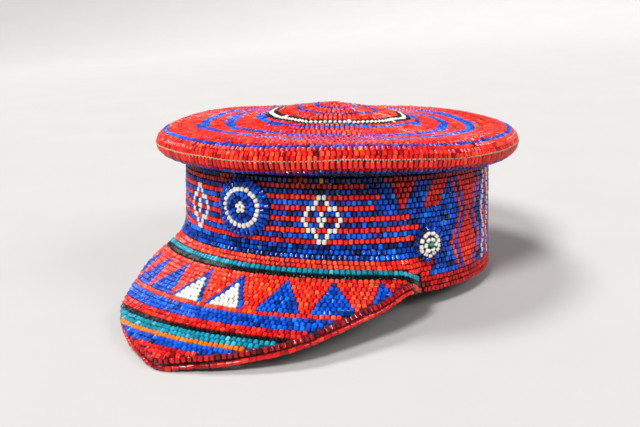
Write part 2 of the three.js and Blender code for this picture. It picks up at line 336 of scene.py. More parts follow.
class BeadList:
    """Beads that become one mesh."""

    def __init__(self):
        self.parts = []

    def add(self, place, row_way, hole_way, colour, tone, width=BEAD_WIDTH, length=BEAD_LENGTH,
            loose=1.0):
        """Adds a row of beads. Looser beads are tilted and shifted more."""
        count = len(place)
        hole = unit(hole_way + draws.normal(0, UNEVEN["tilt"] * loose, (count, 3)))
        out = unit(np.cross(hole, row_way))
        side = np.cross(out, hole)
        place = place + draws.normal(0, UNEVEN["shift"] * loose, (count, 3))
        wide = width * draws.normal(1, UNEVEN["width"], count)
        long = length * draws.normal(1, UNEVEN["length"], count)
        high = wide * draws.normal(1, UNEVEN["height"], count)
        size = np.stack([wide, high, long], axis=1)
        colour = np.broadcast_to(colour, count)
        tone = np.broadcast_to(tone, count)
        self.parts.append((place, side, out, hole, size, colour, tone))

    def arrays(self):
        return [np.concatenate(column) for column in zip(*self.parts)]


# %% A mesh from arrays
LEVEL_EDGE = 1e-4


def mesh_from_arrays(name, points, corners, sizes):
    """A smooth mesh object from points, the corners of its faces and the size of each face."""
    mesh = bpy.data.meshes.new(name)
    mesh.vertices.add(len(points))
    mesh.vertices.foreach_set("co", points.astype(np.float32).ravel())
    mesh.loops.add(len(corners))
    mesh.loops.foreach_set("vertex_index", corners.astype(np.int32))
    mesh.polygons.add(len(sizes))
    mesh.polygons.foreach_set("loop_start", (np.cumsum(sizes) - sizes).astype(np.int32))
    mesh.update(calc_edges=True)
    mesh.polygons.foreach_set("use_smooth", np.ones(len(sizes), bool))
    piece = bpy.data.objects.new(name, mesh)
    bpy.context.scene.collection.objects.link(piece)
    return piece


def mark_bead_edges(mesh):
    """Marks the edges that run round a bead as sharp, and leaves those along it smooth."""
    ends = np.zeros(len(mesh.edges) * 2, np.int32)
    mesh.edges.foreach_get("vertices", ends)
    levels = bead_points[ends.reshape(-1, 2) % len(bead_points), 2]
    round_it = np.abs(levels[:, 0] - levels[:, 1]) < LEVEL_EDGE
    sharp = mesh.attributes.new("sharp_edge", "BOOLEAN", "EDGE")
    sharp.data.foreach_set("value", round_it)


def store_values(mesh, name, values):
    """Stores a number at each point, for the material to read."""
    layer = mesh.attributes.new(name, "FLOAT", "POINT")
    layer.data.foreach_set("value", values.astype(np.float32))


# %% A finished piece, and joined beads
def finish_piece(piece, materials, nodes=()):
    """Puts a mesh in its resting place, gives it its materials, parents it to the cap's body and hides
    the parts it replaces.
    """
    piece.data.transform(to_rest)
    for material in materials:
        piece.data.materials.append(material)
    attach(piece, "root")
    if nodes:
        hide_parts(*nodes)


def join_beads(name, beads, nodes=()):
    """Copies the modelled bead to every place of a list, as one piece."""
    place, side, out, hole, size, colour, tone = beads.arrays()
    shape = [bead_points[None, :, k, None] * size[:, None, k, None] for k in range(3)]
    ways = (side[:, None, :], out[:, None, :], hole[:, None, :])
    points = place[:, None, :] + sum(part * way for part, way in zip(shape, ways))
    starts = np.arange(len(place)) * len(bead_points)
    corners = (starts[:, None] + bead_corners[None, :]).ravel()
    piece = mesh_from_arrays(name, points.reshape(-1, 3), corners, np.tile(bead_sizes, len(place)))
    mark_bead_edges(piece.data)
    used = np.unique(colour)
    index = np.repeat(np.searchsorted(used, colour), len(bead_sizes))
    piece.data.polygons.foreach_set("material_index", index.astype(np.int32))
    store_values(piece.data, "tone", np.repeat(tone, len(bead_points)))
    # How far each point faces the cloth, for the dust and the painted shade in the gaps
    store_values(piece.data, "dust_and_shade", np.tile(0.5 - bead_points[:, 1], len(place)))
    print(name, len(place), "beads,", len(place) * BEAD_TRIANGLES, "triangles")
    finish_piece(piece, [glass[k] for k in used], nodes)


# %% [markdown]
# ## Opaque glass
# The beads are soda-lime glass, coloured through and opaque, with a fire-polished skin: saturated
# colour right up to a small sharp highlight. Glass has an IOR of 1.52. Beads of one colour come from
# several batches, so each colour is a short ramp from its dark batch to its bright one, and a bead's
# tone picks its place on it. That could be eight flat colours, but then a row looks printed. A fine
# mottle and a faint unevenness of the skin break the highlight. The sides that face the cloth are
# rougher from dust and thread wax, and darker: partly that dust and partly painted shade in the gaps.

# %% Colour and node helpers
def colour_of(code):
    """An sRGB hex code as linear light."""
    parts = [int(code[k:k + 2], 16) / 255 for k in (1, 3, 5)]
    line = [p / 12.92 if p <= 0.04045 else ((p + 0.055) / 1.055) ** 2.4 for p in parts]
    return (*line, 1.0)


def add_node(material, kind, settings=None, **links):
    """Adds a node. A link is named for its input, with _ for a space, or is n and its number."""
    node = material.node_tree.nodes.new(kind)
    for key, value in (settings or {}).items():
        setattr(node, key, value)
    for key, value in links.items():
        socket = node.inputs[int(key[1:]) if key[1:].isdigit() else key.replace("_", " ")]
        if isinstance(value, bpy.types.NodeSocket):
            material.node_tree.links.new(value, socket)
        else:
            socket.default_value = value
    return node


def new_material(name):
    material = bpy.data.materials.new(name)
    material.use_nodes = True
    material.node_tree.nodes.clear()
    return material


def fill_ramp(ramp, stops):
    """Sets a colour ramp's stops, evenly spaced."""
    while len(ramp.elements) < len(stops):
        ramp.elements.new(0.5)
    for index, code in enumerate(stops):
        ramp.elements[index].position = index / (len(stops) - 1)
        ramp.elements[index].color = colour_of(code)


# %% Seed bead glass
GLASS_IOR = 1.52
GLASS_ROUGHNESS = 0.11
DUSTY_ROUGHNESS = 0.6
MOTTLE_MM = 0.9
MOTTLE_TONE = 0.16
SKIN_MM = 0.35
SKIN_HEIGHT_MM = 0.2
# Where the sides facing the cloth turn rough with dust and dark with dust and painted shade
DUST_AND_SHADE = {"begins": 0.36, "full": 0.84, "cover": 0.85}


def seed_bead_glass(name, stops, roughness=GLASS_ROUGHNESS):
    """Opaque fire-polished glass: full colour with small sharp highlights, rough with dust in the gaps
    and darkened there by dust and painted shade.
    """
    material = new_material(name)
    place = add_node(material, "ShaderNodeTexCoord").outputs["Object"]
    tone = add_node(material, "ShaderNodeAttribute", {"attribute_name": "tone"}).outputs["Fac"]
    dust_and_shade = add_node(material, "ShaderNodeAttribute", {"attribute_name": "dust_and_shade"}).outputs["Fac"]
    mottle = add_node(material, "ShaderNodeTexNoise", Vector=place, Scale=1 / (MOTTLE_MM * MM),
                      Detail=3.0)
    shift = add_node(material, "ShaderNodeMath", {"operation": "MULTIPLY_ADD"},
                     n0=mottle.outputs["Fac"], n1=MOTTLE_TONE, n2=-MOTTLE_TONE / 2)
    mixed = add_node(material, "ShaderNodeMath", {"operation": "ADD"}, n0=tone, n1=shift.outputs[0])
    ramp = add_node(material, "ShaderNodeValToRGB", Fac=mixed.outputs[0])
    fill_ramp(ramp.color_ramp, stops)
    # Painted shade and real dust: the sides that face the cloth turn near-black and rougher
    shade_and_dust = add_node(material, "ShaderNodeMapRange", {"interpolation_type": "SMOOTHSTEP"}, Value=dust_and_shade,
                    From_Min=DUST_AND_SHADE["begins"], From_Max=DUST_AND_SHADE["full"], To_Max=DUST_AND_SHADE["cover"])
    body = add_node(material, "ShaderNodeMix", {"data_type": "RGBA"}, n0=shade_and_dust.outputs[0],
                    n6=ramp.outputs["Color"], n7=colour_of("#120a0a"))
    gloss = add_node(material, "ShaderNodeMapRange", Value=shade_and_dust.outputs[0], From_Max=0.7,
                     To_Min=roughness, To_Max=DUSTY_ROUGHNESS)
    skin = add_node(material, "ShaderNodeTexNoise", Vector=place, Scale=1 / (SKIN_MM * MM),
                    Detail=1.0)
    bump = add_node(material, "ShaderNodeBump", Height=skin.outputs["Fac"], Strength=0.10,
                    Distance=SKIN_HEIGHT_MM * MM)
    shader = add_node(material, "ShaderNodeBsdfPrincipled", Base_Color=body.outputs[2],
                      Roughness=gloss.outputs[0], Normal=bump.outputs[0], IOR=GLASS_IOR,
                      Specular_IOR_Level=0.36)
    add_node(material, "ShaderNodeOutputMaterial", Surface=shader.outputs[0])
    return material


# %% The glass of each colour
glass = {
    # Wine red to orange-red: the warm ground colour of the crown and visor
    RED: seed_bead_glass("red_opaque_glass", ["#34040a", "#8f0b12", "#cc1416", "#ea3420", "#f45c34"]),
    # Navy to bright cobalt: the deep ground colour of the band, lively because its beads differ
    BLUE: seed_bead_glass("cobalt_opaque_glass",
                          ["#020a24", "#032064", "#043ea4", "#0458d4", "#107cea"]),
    # Warm chalk white: the brightest spots, never pure white
    WHITE: seed_bead_glass("white_opaque_glass", ["#aca698", "#cfcabe", "#e4e1d9"]),
    # Jet: reads as a dark line with a row of sharp glints
    BLACK: seed_bead_glass("black_opaque_glass", ["#050506", "#0e0f11", "#242628"], 0.1),
    # Petrol to pale turquoise: cool lines on the visor
    TEAL: seed_bead_glass("turquoise_opaque_glass", ["#054c62", "#077890", "#1298b0", "#78c8ca"]),
    # Orange: one line on the visor, and single stray beads among the red
    ORANGE: seed_bead_glass("orange_opaque_glass", ["#c65206", "#e8700a", "#f89824"]),
    # Sea green: the middle bead of a rosette
    GREEN: seed_bead_glass("green_opaque_glass", ["#186a4e", "#278862", "#4aa884"]),
    # Amber: one odd bead at the top of the band
    GOLD: seed_bead_glass("amber_glass", ["#9a6a10", "#d8a22a", "#f0cc60"]),
}
print("glass:", ", ".join(material.name for material in glass.values()))

# %% [markdown]
# ## Canvas and thread
# The shell under the beads is plain-woven cotton canvas, stiffened, matt with a soft sheen, and a
# near-black navy that is partly painted shade in the gaps between the beads. Its threads are 0.6 mm
# apart. The weave is two sets of waves in the sheet's own UV map, which counts centimetres of cloth,
# so it bends with the cloth as a picture of it would, and no picture is needed. The beads are sewn
# with a waxed cotton thread in its natural beige, and one loop of turquoise thread is left on the
# crown.

# %% Woven canvas
CANVAS_THREAD_MM = 0.6
WEAVE_HEIGHT_MM = 0.15
BLOTCHES_PER_CM = 1.3
# The wave node turns by 20 radians in a unit, and one wave is one thread over and one under.
WAVES_SCALE = 2 * math.pi / 20 / (2 * CANVAS_THREAD_MM / 10)


def woven_canvas(name, dark, light):
    """Plain weave: a near-black matt ground with a fine grid, seen in the gaps between the beads,
    where its darkness is partly painted shade.
    """
    material = new_material(name)
    cloth_map = add_node(material, "ShaderNodeUVMap", {"uv_map": "cloth"}).outputs[0]
    waves = []
    for way in ("X", "Y"):
        settings = {"bands_direction": way, "wave_type": "BANDS"}
        wave = add_node(material, "ShaderNodeTexWave", settings, Vector=cloth_map, Scale=WAVES_SCALE,
                        Distortion=0.6, Detail=1.0)
        waves.append(wave.outputs["Fac"])
    weave = add_node(material, "ShaderNodeMath", {"operation": "MAXIMUM"}, n0=waves[0], n1=waves[1])
    blotch = add_node(material, "ShaderNodeTexNoise", Vector=cloth_map, Scale=BLOTCHES_PER_CM,
                      Detail=4.0)
    share = add_node(material, "ShaderNodeMath", {"operation": "MULTIPLY"}, n0=weave.outputs[0],
                     n1=blotch.outputs["Fac"])
    tint = add_node(material, "ShaderNodeMix", {"data_type": "RGBA"}, n0=share.outputs[0],
                    n6=colour_of(dark), n7=colour_of(light))
    bump = add_node(material, "ShaderNodeBump", Height=weave.outputs[0], Strength=0.5,
                    Distance=WEAVE_HEIGHT_MM * MM)
    shader = add_node(material, "ShaderNodeBsdfPrincipled", Base_Color=tint.outputs[2],
                      Roughness=0.88, Normal=bump.outputs[0], Sheen_Weight=0.25,
                      Sheen_Roughness=0.5)
    add_node(material, "ShaderNodeOutputMaterial", Surface=shader.outputs[0])
    return material


# Near-black navy: partly the cloth's own colour, partly painted shade in the gaps between the beads
canvas = woven_canvas("navy_cotton_canvas", "#0b0d18", "#262a44")
print("one wave of the canvas spans", 2 * CANVAS_THREAD_MM, "mm")

# %% Twisted thread
FIBRE_MM = 0.5
FIBRE_HEIGHT_MM = 0.1


def twisted_thread(name, dark, light):
    """Spun cotton: a matt line whose fibres make it lighter and darker along its length."""
    material = new_material(name)
    place = add_node(material, "ShaderNodeTexCoord").outputs["Object"]
    fibre = add_node(material, "ShaderNodeTexNoise", Vector=place, Scale=1 / (FIBRE_MM * MM),
                     Detail=3.0)
    tint = add_node(material, "ShaderNodeMix", {"data_type": "RGBA"}, n0=fibre.outputs["Fac"],
                    n6=colour_of(dark), n7=colour_of(light))
    bump = add_node(material, "ShaderNodeBump", Height=fibre.outputs["Fac"], Strength=0.5,
                    Distance=FIBRE_HEIGHT_MM * MM)
    shader = add_node(material, "ShaderNodeBsdfPrincipled", Base_Color=tint.outputs[2],
                      Roughness=0.75, Normal=bump.outputs[0])
    add_node(material, "ShaderNodeOutputMaterial", Surface=shader.outputs[0])
    return material


beige_thread = twisted_thread("beige_waxed_thread", "#777052", "#c4bb96")
turquoise_thread = twisted_thread("turquoise_cotton_thread", "#1d8f84", "#5fd0bc")
print("threads:", beige_thread.name, "and", turquoise_thread.name)

# %% [markdown]
# ## The canvas shell
# Each part of the shell is a flat grid that is bent over the cap: its columns become angles and its
# rows lengths along the face, about 2 mm under the outer face, so that the beads sit a little way
# into it. Cloth could be simulated over a dummy, but this shell is stiff and has the very shape that
# the beads follow. Where a sheet goes all the way round, its two sides are merged. Solidify then
# gives the cloth its thickness on the inside.

# %% Bend a grid over the cap
MERGE_MM = 0.004
CREASE_ANGLE = math.radians(40)


def map_cloth(sheet, across, down, cloth_size):
    """Gives a sheet one UV map, which counts centimetres of its cloth."""
    while sheet.data.uv_layers:
        sheet.data.uv_layers.remove(sheet.data.uv_layers[0])
    corner = np.array([loop.vertex_index for loop in sheet.data.loops])
    cloth = np.stack([across * cloth_size[0], down * cloth_size[1]], axis=1)[corner] / 10
    cloth_map = sheet.data.uv_layers.new(name="cloth")
    cloth_map.data.foreach_set("uv", cloth.astype(np.float32).ravel())


def bend_sheet(name, columns, rows, cover, depth, thickness, cloth_size):
    """Bends a grid. Its cover gives a point from two shares of 0 to 1 and a depth."""
    start_fresh()
    bpy.ops.mesh.primitive_grid_add(x_subdivisions=columns, y_subdivisions=rows, size=2)
    sheet = bpy.context.object
    sheet.name = sheet.data.name = name
    flat = np.array([v.co for v in sheet.data.vertices])
    across, down = (flat[:, 0] + 1) / 2, (flat[:, 1] + 1) / 2
    map_cloth(sheet, across, down, cloth_size)
    outer = cover(across, down, depth)
    sheet.data.vertices.foreach_set("co", outer.astype(np.float32).ravel())
    sheet.data.update()
    normals = np.array([v.normal for v in sheet.data.vertices])
    outwards = outer - cover(across, down, depth + thickness)
    bpy.ops.object.mode_set(mode="EDIT")
    bpy.ops.mesh.select_all(action="SELECT")
    if (normals * outwards).sum() < 0:
        bpy.ops.mesh.flip_normals()
    bpy.ops.mesh.remove_doubles(threshold=MERGE_MM)
    bpy.ops.object.mode_set(mode="OBJECT")
    wall = sheet.modifiers.new("wall", "SOLIDIFY")
    wall.thickness = thickness
    wall.offset = -1
    bpy.ops.object.modifier_apply(modifier=wall.name)
    bpy.ops.object.shade_smooth_by_angle(angle=CREASE_ANGLE)
    print(name, len(sheet.data.polygons), "faces")
    finish_piece(sheet, [canvas])


# %% Where the band ends and the visor begins
SEAM_AT_FRONT = 47
SEAM_SIDE = 6.1
SEAM_END_START = 54
SEAM_END_ANGLE = 61


def seam_length(angle):
    """Length along the face at which the band ends."""
    size = np.abs(angle)
    along = SEAM_AT_FRONT + SEAM_SIDE * (size / VISOR_HALF_ANGLE) ** 2
    drop = smooth_step((size - SEAM_END_START) / (SEAM_END_ANGLE - SEAM_END_START))
    return along + (BAND_HEIGHT - along) * drop


# %% Where the visor ends and its string begins
STRAND_DIAMETER = 2.7
STRAND_GAP = 0.8
STRAND_END_ANGLE = 51
LIP_DROP_DELAY = 1
LIP_DROP_ANGLE = 3
SLANT_STEP = 1.5


def edge_stretch(angle):
    """How much longer the visor's edge is than the arc below it, where it runs slantwise."""
    here = wall_point(angle, edge_length(angle))
    arc = np.hypot(here[..., 0], here[..., 1]) * math.radians(2 * SLANT_STEP)
    climb = edge_length(angle + SLANT_STEP) - edge_length(angle - SLANT_STEP)
    return np.hypot(1, climb / arc)


def lip_length(angle):
    """Length along the face at which the visor ends, above its string of beads."""
    trim = (STRAND_DIAMETER + STRAND_GAP) * edge_stretch(angle)
    drop = smooth_step((np.abs(angle) - STRAND_END_ANGLE - LIP_DROP_DELAY) / LIP_DROP_ANGLE)
    return edge_length(angle) - trim * (1 - drop)


# %% Canvas of the band and the visor
BAND_WALL = 3.2
VISOR_WALL = 2.8
CLOTH_DEPTH = 2.2
RAISED_DEPTH = CLOTH_DEPTH - 0.3
SEAM_GAP = 0.4
LIP_GAP = 0.3
VISOR_CLOTH_ANGLE = VISOR_HALF_ANGLE - 1
BAND_CLOTH = (584, BAND_HEIGHT)
VISOR_CLOTH = (230, 75)


def band_cover(across, down, depth):
    angle = across * 360 - 180
    return wall_point(angle, SEAM_GAP + (seam_length(angle) - 2 * SEAM_GAP) * down, depth)


def visor_cover(across, down, depth):
    angle = (across * 2 - 1) * VISOR_CLOTH_ANGLE
    start = seam_length(angle) + SEAM_GAP
    return wall_point(angle, start + (lip_length(angle) - LIP_GAP - start) * down, depth)


bend_sheet("band_canvas", 180, 18, band_cover, CLOTH_DEPTH, BAND_WALL - CLOTH_DEPTH, BAND_CLOTH)
bend_sheet("visor_canvas", 100, 40, visor_cover, RAISED_DEPTH, VISOR_WALL - RAISED_DEPTH,
           VISOR_CLOTH)

# %% Canvas of the crown
CROWN_WALL = 3
RIM_GAP = 0.2
RIM_CLOTH = 640


def top_cover(across, down, depth):
    return top_face(across * 360 - 180, RIM_GAP + (top_run - 2 * RIM_GAP) * down, depth)


def under_cover(across, down, depth):
    return under_face(across * 360 - 180, RIM_GAP + (under_run - 2 * RIM_GAP) * down, depth)


bend_sheet("crown_top_canvas", 120, 56, top_cover, CLOTH_DEPTH, CROWN_WALL - CLOTH_DEPTH,
           (RIM_CLOTH, top_run))
bend_sheet("crown_underside_canvas", 120, 12, under_cover, CLOTH_DEPTH, CROWN_WALL - CLOTH_DEPTH,
           (RIM_CLOTH, under_run))

# %% [markdown]
# ## Laying a row
# A row is a curve on the cap: an angle range and a length along the face for each angle. An array
# along a curve could place its beads, but it wouldn't know which way the face looks. So the beads are
# spaced evenly along the row's true length here, and small steps on the face give each its three
# directions. In brick stitch each row sits in the gaps of the one above, so every other row starts
# half a bead later.

# %% Beads along a curve on a face
SPACING = 2.72
ANGLE_NUDGE = 0.25
LENGTH_NUDGE = 0.4
STOPS_PER_DEGREE = 3
FEWEST_STOPS = 8


def level_row(along):
    """A row that stays at one length along the face."""
    def along_of(angle):
        return along + 0 * angle
    return along_of


def row_frame(face, angle, along_of, depth):
    """Places on a row, its direction, and the way down the face at right angles to it."""
    along = along_of(angle)
    place = face(angle, along, depth)
    ahead = face(angle + ANGLE_NUDGE, along_of(angle + ANGLE_NUDGE), depth)
    behind = face(angle - ANGLE_NUDGE, along_of(angle - ANGLE_NUDGE), depth)
    row_way = unit(ahead - behind)
    down = unit(face(angle, along + LENGTH_NUDGE, depth) - face(angle, along - LENGTH_NUDGE, depth))
    hole = unit(down - row_way * (down * row_way).sum(-1, keepdims=True))
    return place, row_way, hole


def true_lengths(line):
    """Length of a line up to each of its points."""
    return np.concatenate([[0], np.cumsum(np.linalg.norm(np.diff(line, axis=0), axis=1))])


def spaced_angles(face, along_of, start, end, depth, half, count=None):
    """Angles that space beads evenly along a row, and its number of beads."""
    stops = max(FEWEST_STOPS, int(abs(end - start) * STOPS_PER_DEGREE))
    fine = np.linspace(start, end, stops)
    run = true_lengths(face(fine, along_of(fine), depth))
    count = count or max(1, round(run[-1] / SPACING))
    wanted = (np.arange(count) + (0.5 if half else 0.0)) * run[-1] / count
    return np.interp(wanted, run, fine), count


# %% Tones and wandering lines
BATCH_BEADS = 9
TONE_RANGE = (0.02, 0.98)


def patchy(count, centre, spread=0.16, patch=0.1):
    """Tones that vary bead by bead and, more slowly, in patches of a batch."""
    knots = np.arange(0, count + BATCH_BEADS, BATCH_BEADS)
    slow = np.interp(np.arange(count), knots, draws.normal(0, patch, len(knots)))
    return np.clip(centre + slow + draws.normal(0, spread, count), *TONE_RANGE)


def wander(turn, *waves):
    """A line that sways by hand. Each wave is an amount, a number round the cap and a start."""
    return sum(amount * np.sin(number * turn + start) for amount, number, start in waves)


# %% [markdown]
# ## The crown's beads
# The rows are rings round the middle of the crown. Nearly all are red, with thin rings of blue and
# one of white between black. They were sewn by hand, so the rings sway a little, and a coloured ring
# steps over to the next row and back. Colour is therefore asked for bead by bead, from how far a bead
# is from each coloured ring, and not row by row. The last two rows before the seam stand in line.

# %% Rings of the crown's top
TOP_ROWS = 41
TALL_ROWS = 2
TALL_LENGTH = 2.65
FIRST_RING = 2.0
LAST_RING = top_run - 1.5
RING_PITCH = (LAST_RING - FIRST_RING) / (TOP_ROWS - 1)
RING_SWAY = 0.9
STEADY_RIM = 8
RING_WAVES = ((1, 3, 1.3), (0.6, 7, 0.4), (0.4, 11, 0))


def top_along(row):
    """Length along the crown's top for a row. The rings sway between the middle and the rim."""
    middle = FIRST_RING + RING_PITCH * row
    sway = RING_SWAY * math.sin(math.pi * min(1, middle / (top_run - STEADY_RIM)))

    def along_of(angle):
        return middle + sway * wander(np.radians(angle), *RING_WAVES)
    return along_of


print("rings are", round(RING_PITCH, 2), "mm apart")

# %% Colours of the rings
# Each blue ring is its middle row, half its width in rows, how much wider it is at the sides, and
# how far it wanders.
BLUE_RINGS = [
    (4, 0.56, 0, 0.2), (8, 0.56, 0, 0.4), (17, 0.56, 0.2, 0.8), (23.4, 0.8, 0.3, 1),
    (28.6, 1.0, 0.15, 0.8), (37, 0.56, 0, 0.55),
]
RAGGED = 0.08
BORDER_RING = {"row": 14, "black": 1.5, "white": 0.55}
BORDER_WAVES = ((0.3, 5, 0.7), (0.2, 23, 0))
TOP_STRAYS = 0.006


def ring_colour(row, angle):
    """Red, with coloured rings that wander from row to row round the crown."""
    turn = np.radians(angle)
    colour = np.full(len(angle), RED)
    aside = np.sin(turn - math.radians(SAG_ANGLE)) ** 2
    for number, (middle, half_width, swell, sway) in enumerate(BLUE_RINGS):
        drift = wander(turn, (0.45, 4, number), (0.3, 9, 2.1 * number))
        apart = np.abs(row - middle - drift * sway + draws.normal(0, RAGGED, len(angle)))
        colour[apart < half_width + swell * aside] = BLUE
    apart = np.abs(row - BORDER_RING["row"] - wander(turn, *BORDER_WAVES))
    colour[apart < BORDER_RING["black"]] = BLACK
    colour[apart < BORDER_RING["white"]] = WHITE
    strays = draws.random(len(angle))
    colour[(colour == RED) & (strays < TOP_STRAYS)] = ORANGE
    return colour


# %% Lay the crown's top, in two pieces
SPLIT_ROWS = (0, 28, TOP_ROWS)

for part, (first, last) in enumerate(zip(SPLIT_ROWS[:-1], SPLIT_ROWS[1:])):
    beads = BeadList()
    for row in range(first, last):
        along_of = top_along(row)
        tall = row >= TOP_ROWS - TALL_ROWS
        half = not tall and row % 2 == 1
        where, count = spaced_angles(top_face, along_of, -180, 180, BEAD_DEPTH, half)
        place, row_way, hole = row_frame(top_face, where, along_of, BEAD_DEPTH)
        colour = np.full(count, RED) if tall else ring_colour(row, where)
        blue_tone = patchy(count, 0.62)
        tone = np.where(colour == BLUE, blue_tone, patchy(count, 0.6, spread=0.14, patch=0.08))
        beads.add(place, row_way, hole, colour, tone, length=TALL_LENGTH if tall else BEAD_LENGTH)
    nodes = ("crown_top",) if part == 0 else ()
    join_beads(f"crown_top_beads_{part + 1}", beads, nodes)

# %% Lay the crown's underside
# Each row is its length along the face, its beads' length, their colour and their tone.
# Towards the band the tones fall and two rows are black, with near-black blue between: painted shade
# under the rim.
UNDER_ROWS = [
    (2.2, 3.9, RED, 0.6), (5.5, 2.5, RED, 0.42), (8.1, 2.4, BLUE, 0.45), (10.7, 2.4, BLACK, 0.3),
    (13.3, 2.4, BLUE, 0.08), (15.9, 2.4, BLACK, 0.3), (18.3, 2.4, BLUE, 0.08),
]
beads = BeadList()
for row, (along, length, colour, tone) in enumerate(UNDER_ROWS):
    along_of = level_row(along)
    where, count = spaced_angles(under_face, along_of, -180, 180, BEAD_DEPTH, row % 2 == 1)
    place, row_way, hole = row_frame(under_face, where, along_of, BEAD_DEPTH)
    tone = patchy(count, tone, spread=0.12, patch=0.05)
    beads.add(place, row_way, hole, colour, tone, length=length)
join_beads("crown_underside_beads", beads, ("crown_underside",))

# %% [markdown]
# ## The band's beads
# The band's rows are 2.82 mm apart, and closer together in the flare over the visor. Each row is a
# line of a pattern. The front has red stripes on blue, with stepped white lozenges beside the badge.
# Further round come a red triangle and a slanting bar, and then upright columns that swell and narrow
# in a zigzag. Two red rows lead into the visor's seam and turn down round its ends into the three red
# rows of the hem. The patterns are symmetrical left and right. They could be painted from a chart,
# bead by bead, but a few rules on rows and angles give the same and are quicker to change.

# %% Rows and beads of the band
BAND_ROWS = 22
BAND_PITCH = 2.82
FIRST_BAND_ROW = 1.4
SEAM_ROWS = (15, 16)
FIRST_OPEN_ROW = 17
HEM_ROWS = 3
FRONT_ANGLE = 60
FRONT_BEADS = 70
BACK_BEADS = 141
FRONT_BEAD_ANGLE = 2 * FRONT_ANGLE / FRONT_BEADS
BEAD_ANGLE = (360 - 2 * FRONT_ANGLE) / BACK_BEADS
print("a bead of the band spans", round(FRONT_BEAD_ANGLE, 2), "degrees at the front")

# %% Stripes, lozenges, triangles and bars of the front
STRIPE_ENDS = {1: 39.4, 3: 43.8, 5: 43.5, 7: 54.1, 9: 57.5, 11: 56.1}
LOZENGE_MIDDLES = (-15, 15)
LOZENGE_ROW = 7
# How many beads from a lozenge's middle it is white, from its middle row outwards
LOZENGE_STEPS = [(0.5, 3.5), (0, 3), (1.5, 2.5), (1,), (0.5,)]
STEP_SLACK = 0.3
CORNER_ROWS = 6
TRIANGLE_MIDDLE = 52.3
BAR_MIDDLE = 68.2
BAR_LEAN = 0.95
BAR_HALF_WIDTH = 1.9


def on_lozenge(steps, row):
    """Whether a bead, counted from the middle of the front, is on a stepped lozenge or its eye."""
    apart = abs(row - LOZENGE_ROW)
    if apart >= len(LOZENGE_STEPS):
        return False
    asides = [abs(steps - middle) for middle in LOZENGE_MIDDLES]
    return any(abs(aside - step) < STEP_SLACK for aside in asides for step in LOZENGE_STEPS[apart])


def front_colour(size, steps, row):
    """Stripes, lozenges, triangle and bar."""
    if on_lozenge(steps, row):
        return WHITE
    if (row in SEAM_ROWS and size < FRONT_ANGLE) or size < STRIPE_ENDS.get(row, 0):
        return RED
    if row < CORNER_ROWS:
        from_triangle = abs(size - TRIANGLE_MIDDLE) / BEAD_ANGLE
        from_bar = abs(size - BAR_MIDDLE + BAR_LEAN * row) / BEAD_ANGLE
        if from_triangle < (CORNER_ROWS - row) / 2 or from_bar < BAR_HALF_WIDTH:
            return RED
    return BLUE


# %% Columns of the sides and back
COLUMN_BEGIN = 71.5
COLUMN_MIDDLE = 81.5
COLUMN_PERIOD = (180 - COLUMN_MIDDLE) / 3
ZIGZAG_ROWS = 12
ZIGZAG_WIDEST = 1.5
FIELD = {"narrow": 0.9, "swell": 2.7}
LINE = {"near": 6.4, "swell": 1.3}


def column_colour(size, row):
    """Red fields with an outline, and pairs of white and red lines, whose edges run in a zigzag."""
    share = abs((row - ZIGZAG_WIDEST) % ZIGZAG_ROWS - ZIGZAG_ROWS / 2) / (ZIGZAG_ROWS / 2)
    turned = (size - COLUMN_MIDDLE + COLUMN_PERIOD / 2) % COLUMN_PERIOD - COLUMN_PERIOD / 2
    apart = abs(turned) / BEAD_ANGLE
    field = FIELD["narrow"] + FIELD["swell"] * share
    line = LINE["near"] + LINE["swell"] * share
    if apart < field or field + 1 <= apart < field + 2:
        return RED
    if line <= apart < line + 1:
        return WHITE
    return RED if line + 1 <= apart < line + 2 else BLUE


# %% Colour of any bead of the band
PATCH_END = 65.8
PATCH_LEAN = 1.2


def band_colour(angle, row):
    size = abs(angle)
    if row >= BAND_ROWS - HEM_ROWS:
        return RED
    if row >= SEAM_ROWS[0] and size < PATCH_END - PATCH_LEAN * (row - SEAM_ROWS[0]):
        return RED
    if size > COLUMN_BEGIN:
        return column_colour(size, row)
    return front_colour(size, angle / FRONT_BEAD_ANGLE, row)


# %% Where the ornaments sit on the band
BADGE = {"angle": -1.2, "along": 16.7, "half_width": 16.4, "half_height": 15.4, "edge": 1.6,
         "dome": 3.2}
ROSETTE = {"along": 36, "half_width": 9, "half_height": 9, "edge": 1.6, "dome": 4.2}
ROSETTE_ANGLES = {"rosette_left": 61, "rosette_right": -68}
TUCK = 1.5


def on_ornament(angle, along, piece, middle):
    """Whether a place of the band is hidden under an ornament, apart from beads under its edge."""
    across = np.radians(angle - middle) * HEM_RADIUS / (piece["half_width"] - TUCK)
    down = (along - piece["along"]) / (piece["half_height"] - TUCK)
    return across**2 + down**2 < 1


# %% Where each row of the band runs
TURQUOISE_PITCH = 2.9
SQUEEZE_ROW = 11
FLARE_ROWS = 5
BLACK_ROW = {"front": 49.8, "side": 2.6, "end": 6}


def black_row(angle):
    """Length along the face where the black row at the visor's seam runs."""
    share = (angle / VISOR_HALF_ANGLE) ** 2
    return BLACK_ROW["front"] + BLACK_ROW["side"] * share + BLACK_ROW["end"] * share**3


def flare_pitch(angle):
    """Pitch of the rows that are squeezed together in the flare over the visor."""
    last = black_row(angle) - 2 * TURQUOISE_PITCH
    start = FIRST_BAND_ROW + BAND_PITCH * SQUEEZE_ROW
    return np.minimum((last - start) / FLARE_ROWS, BAND_PITCH)


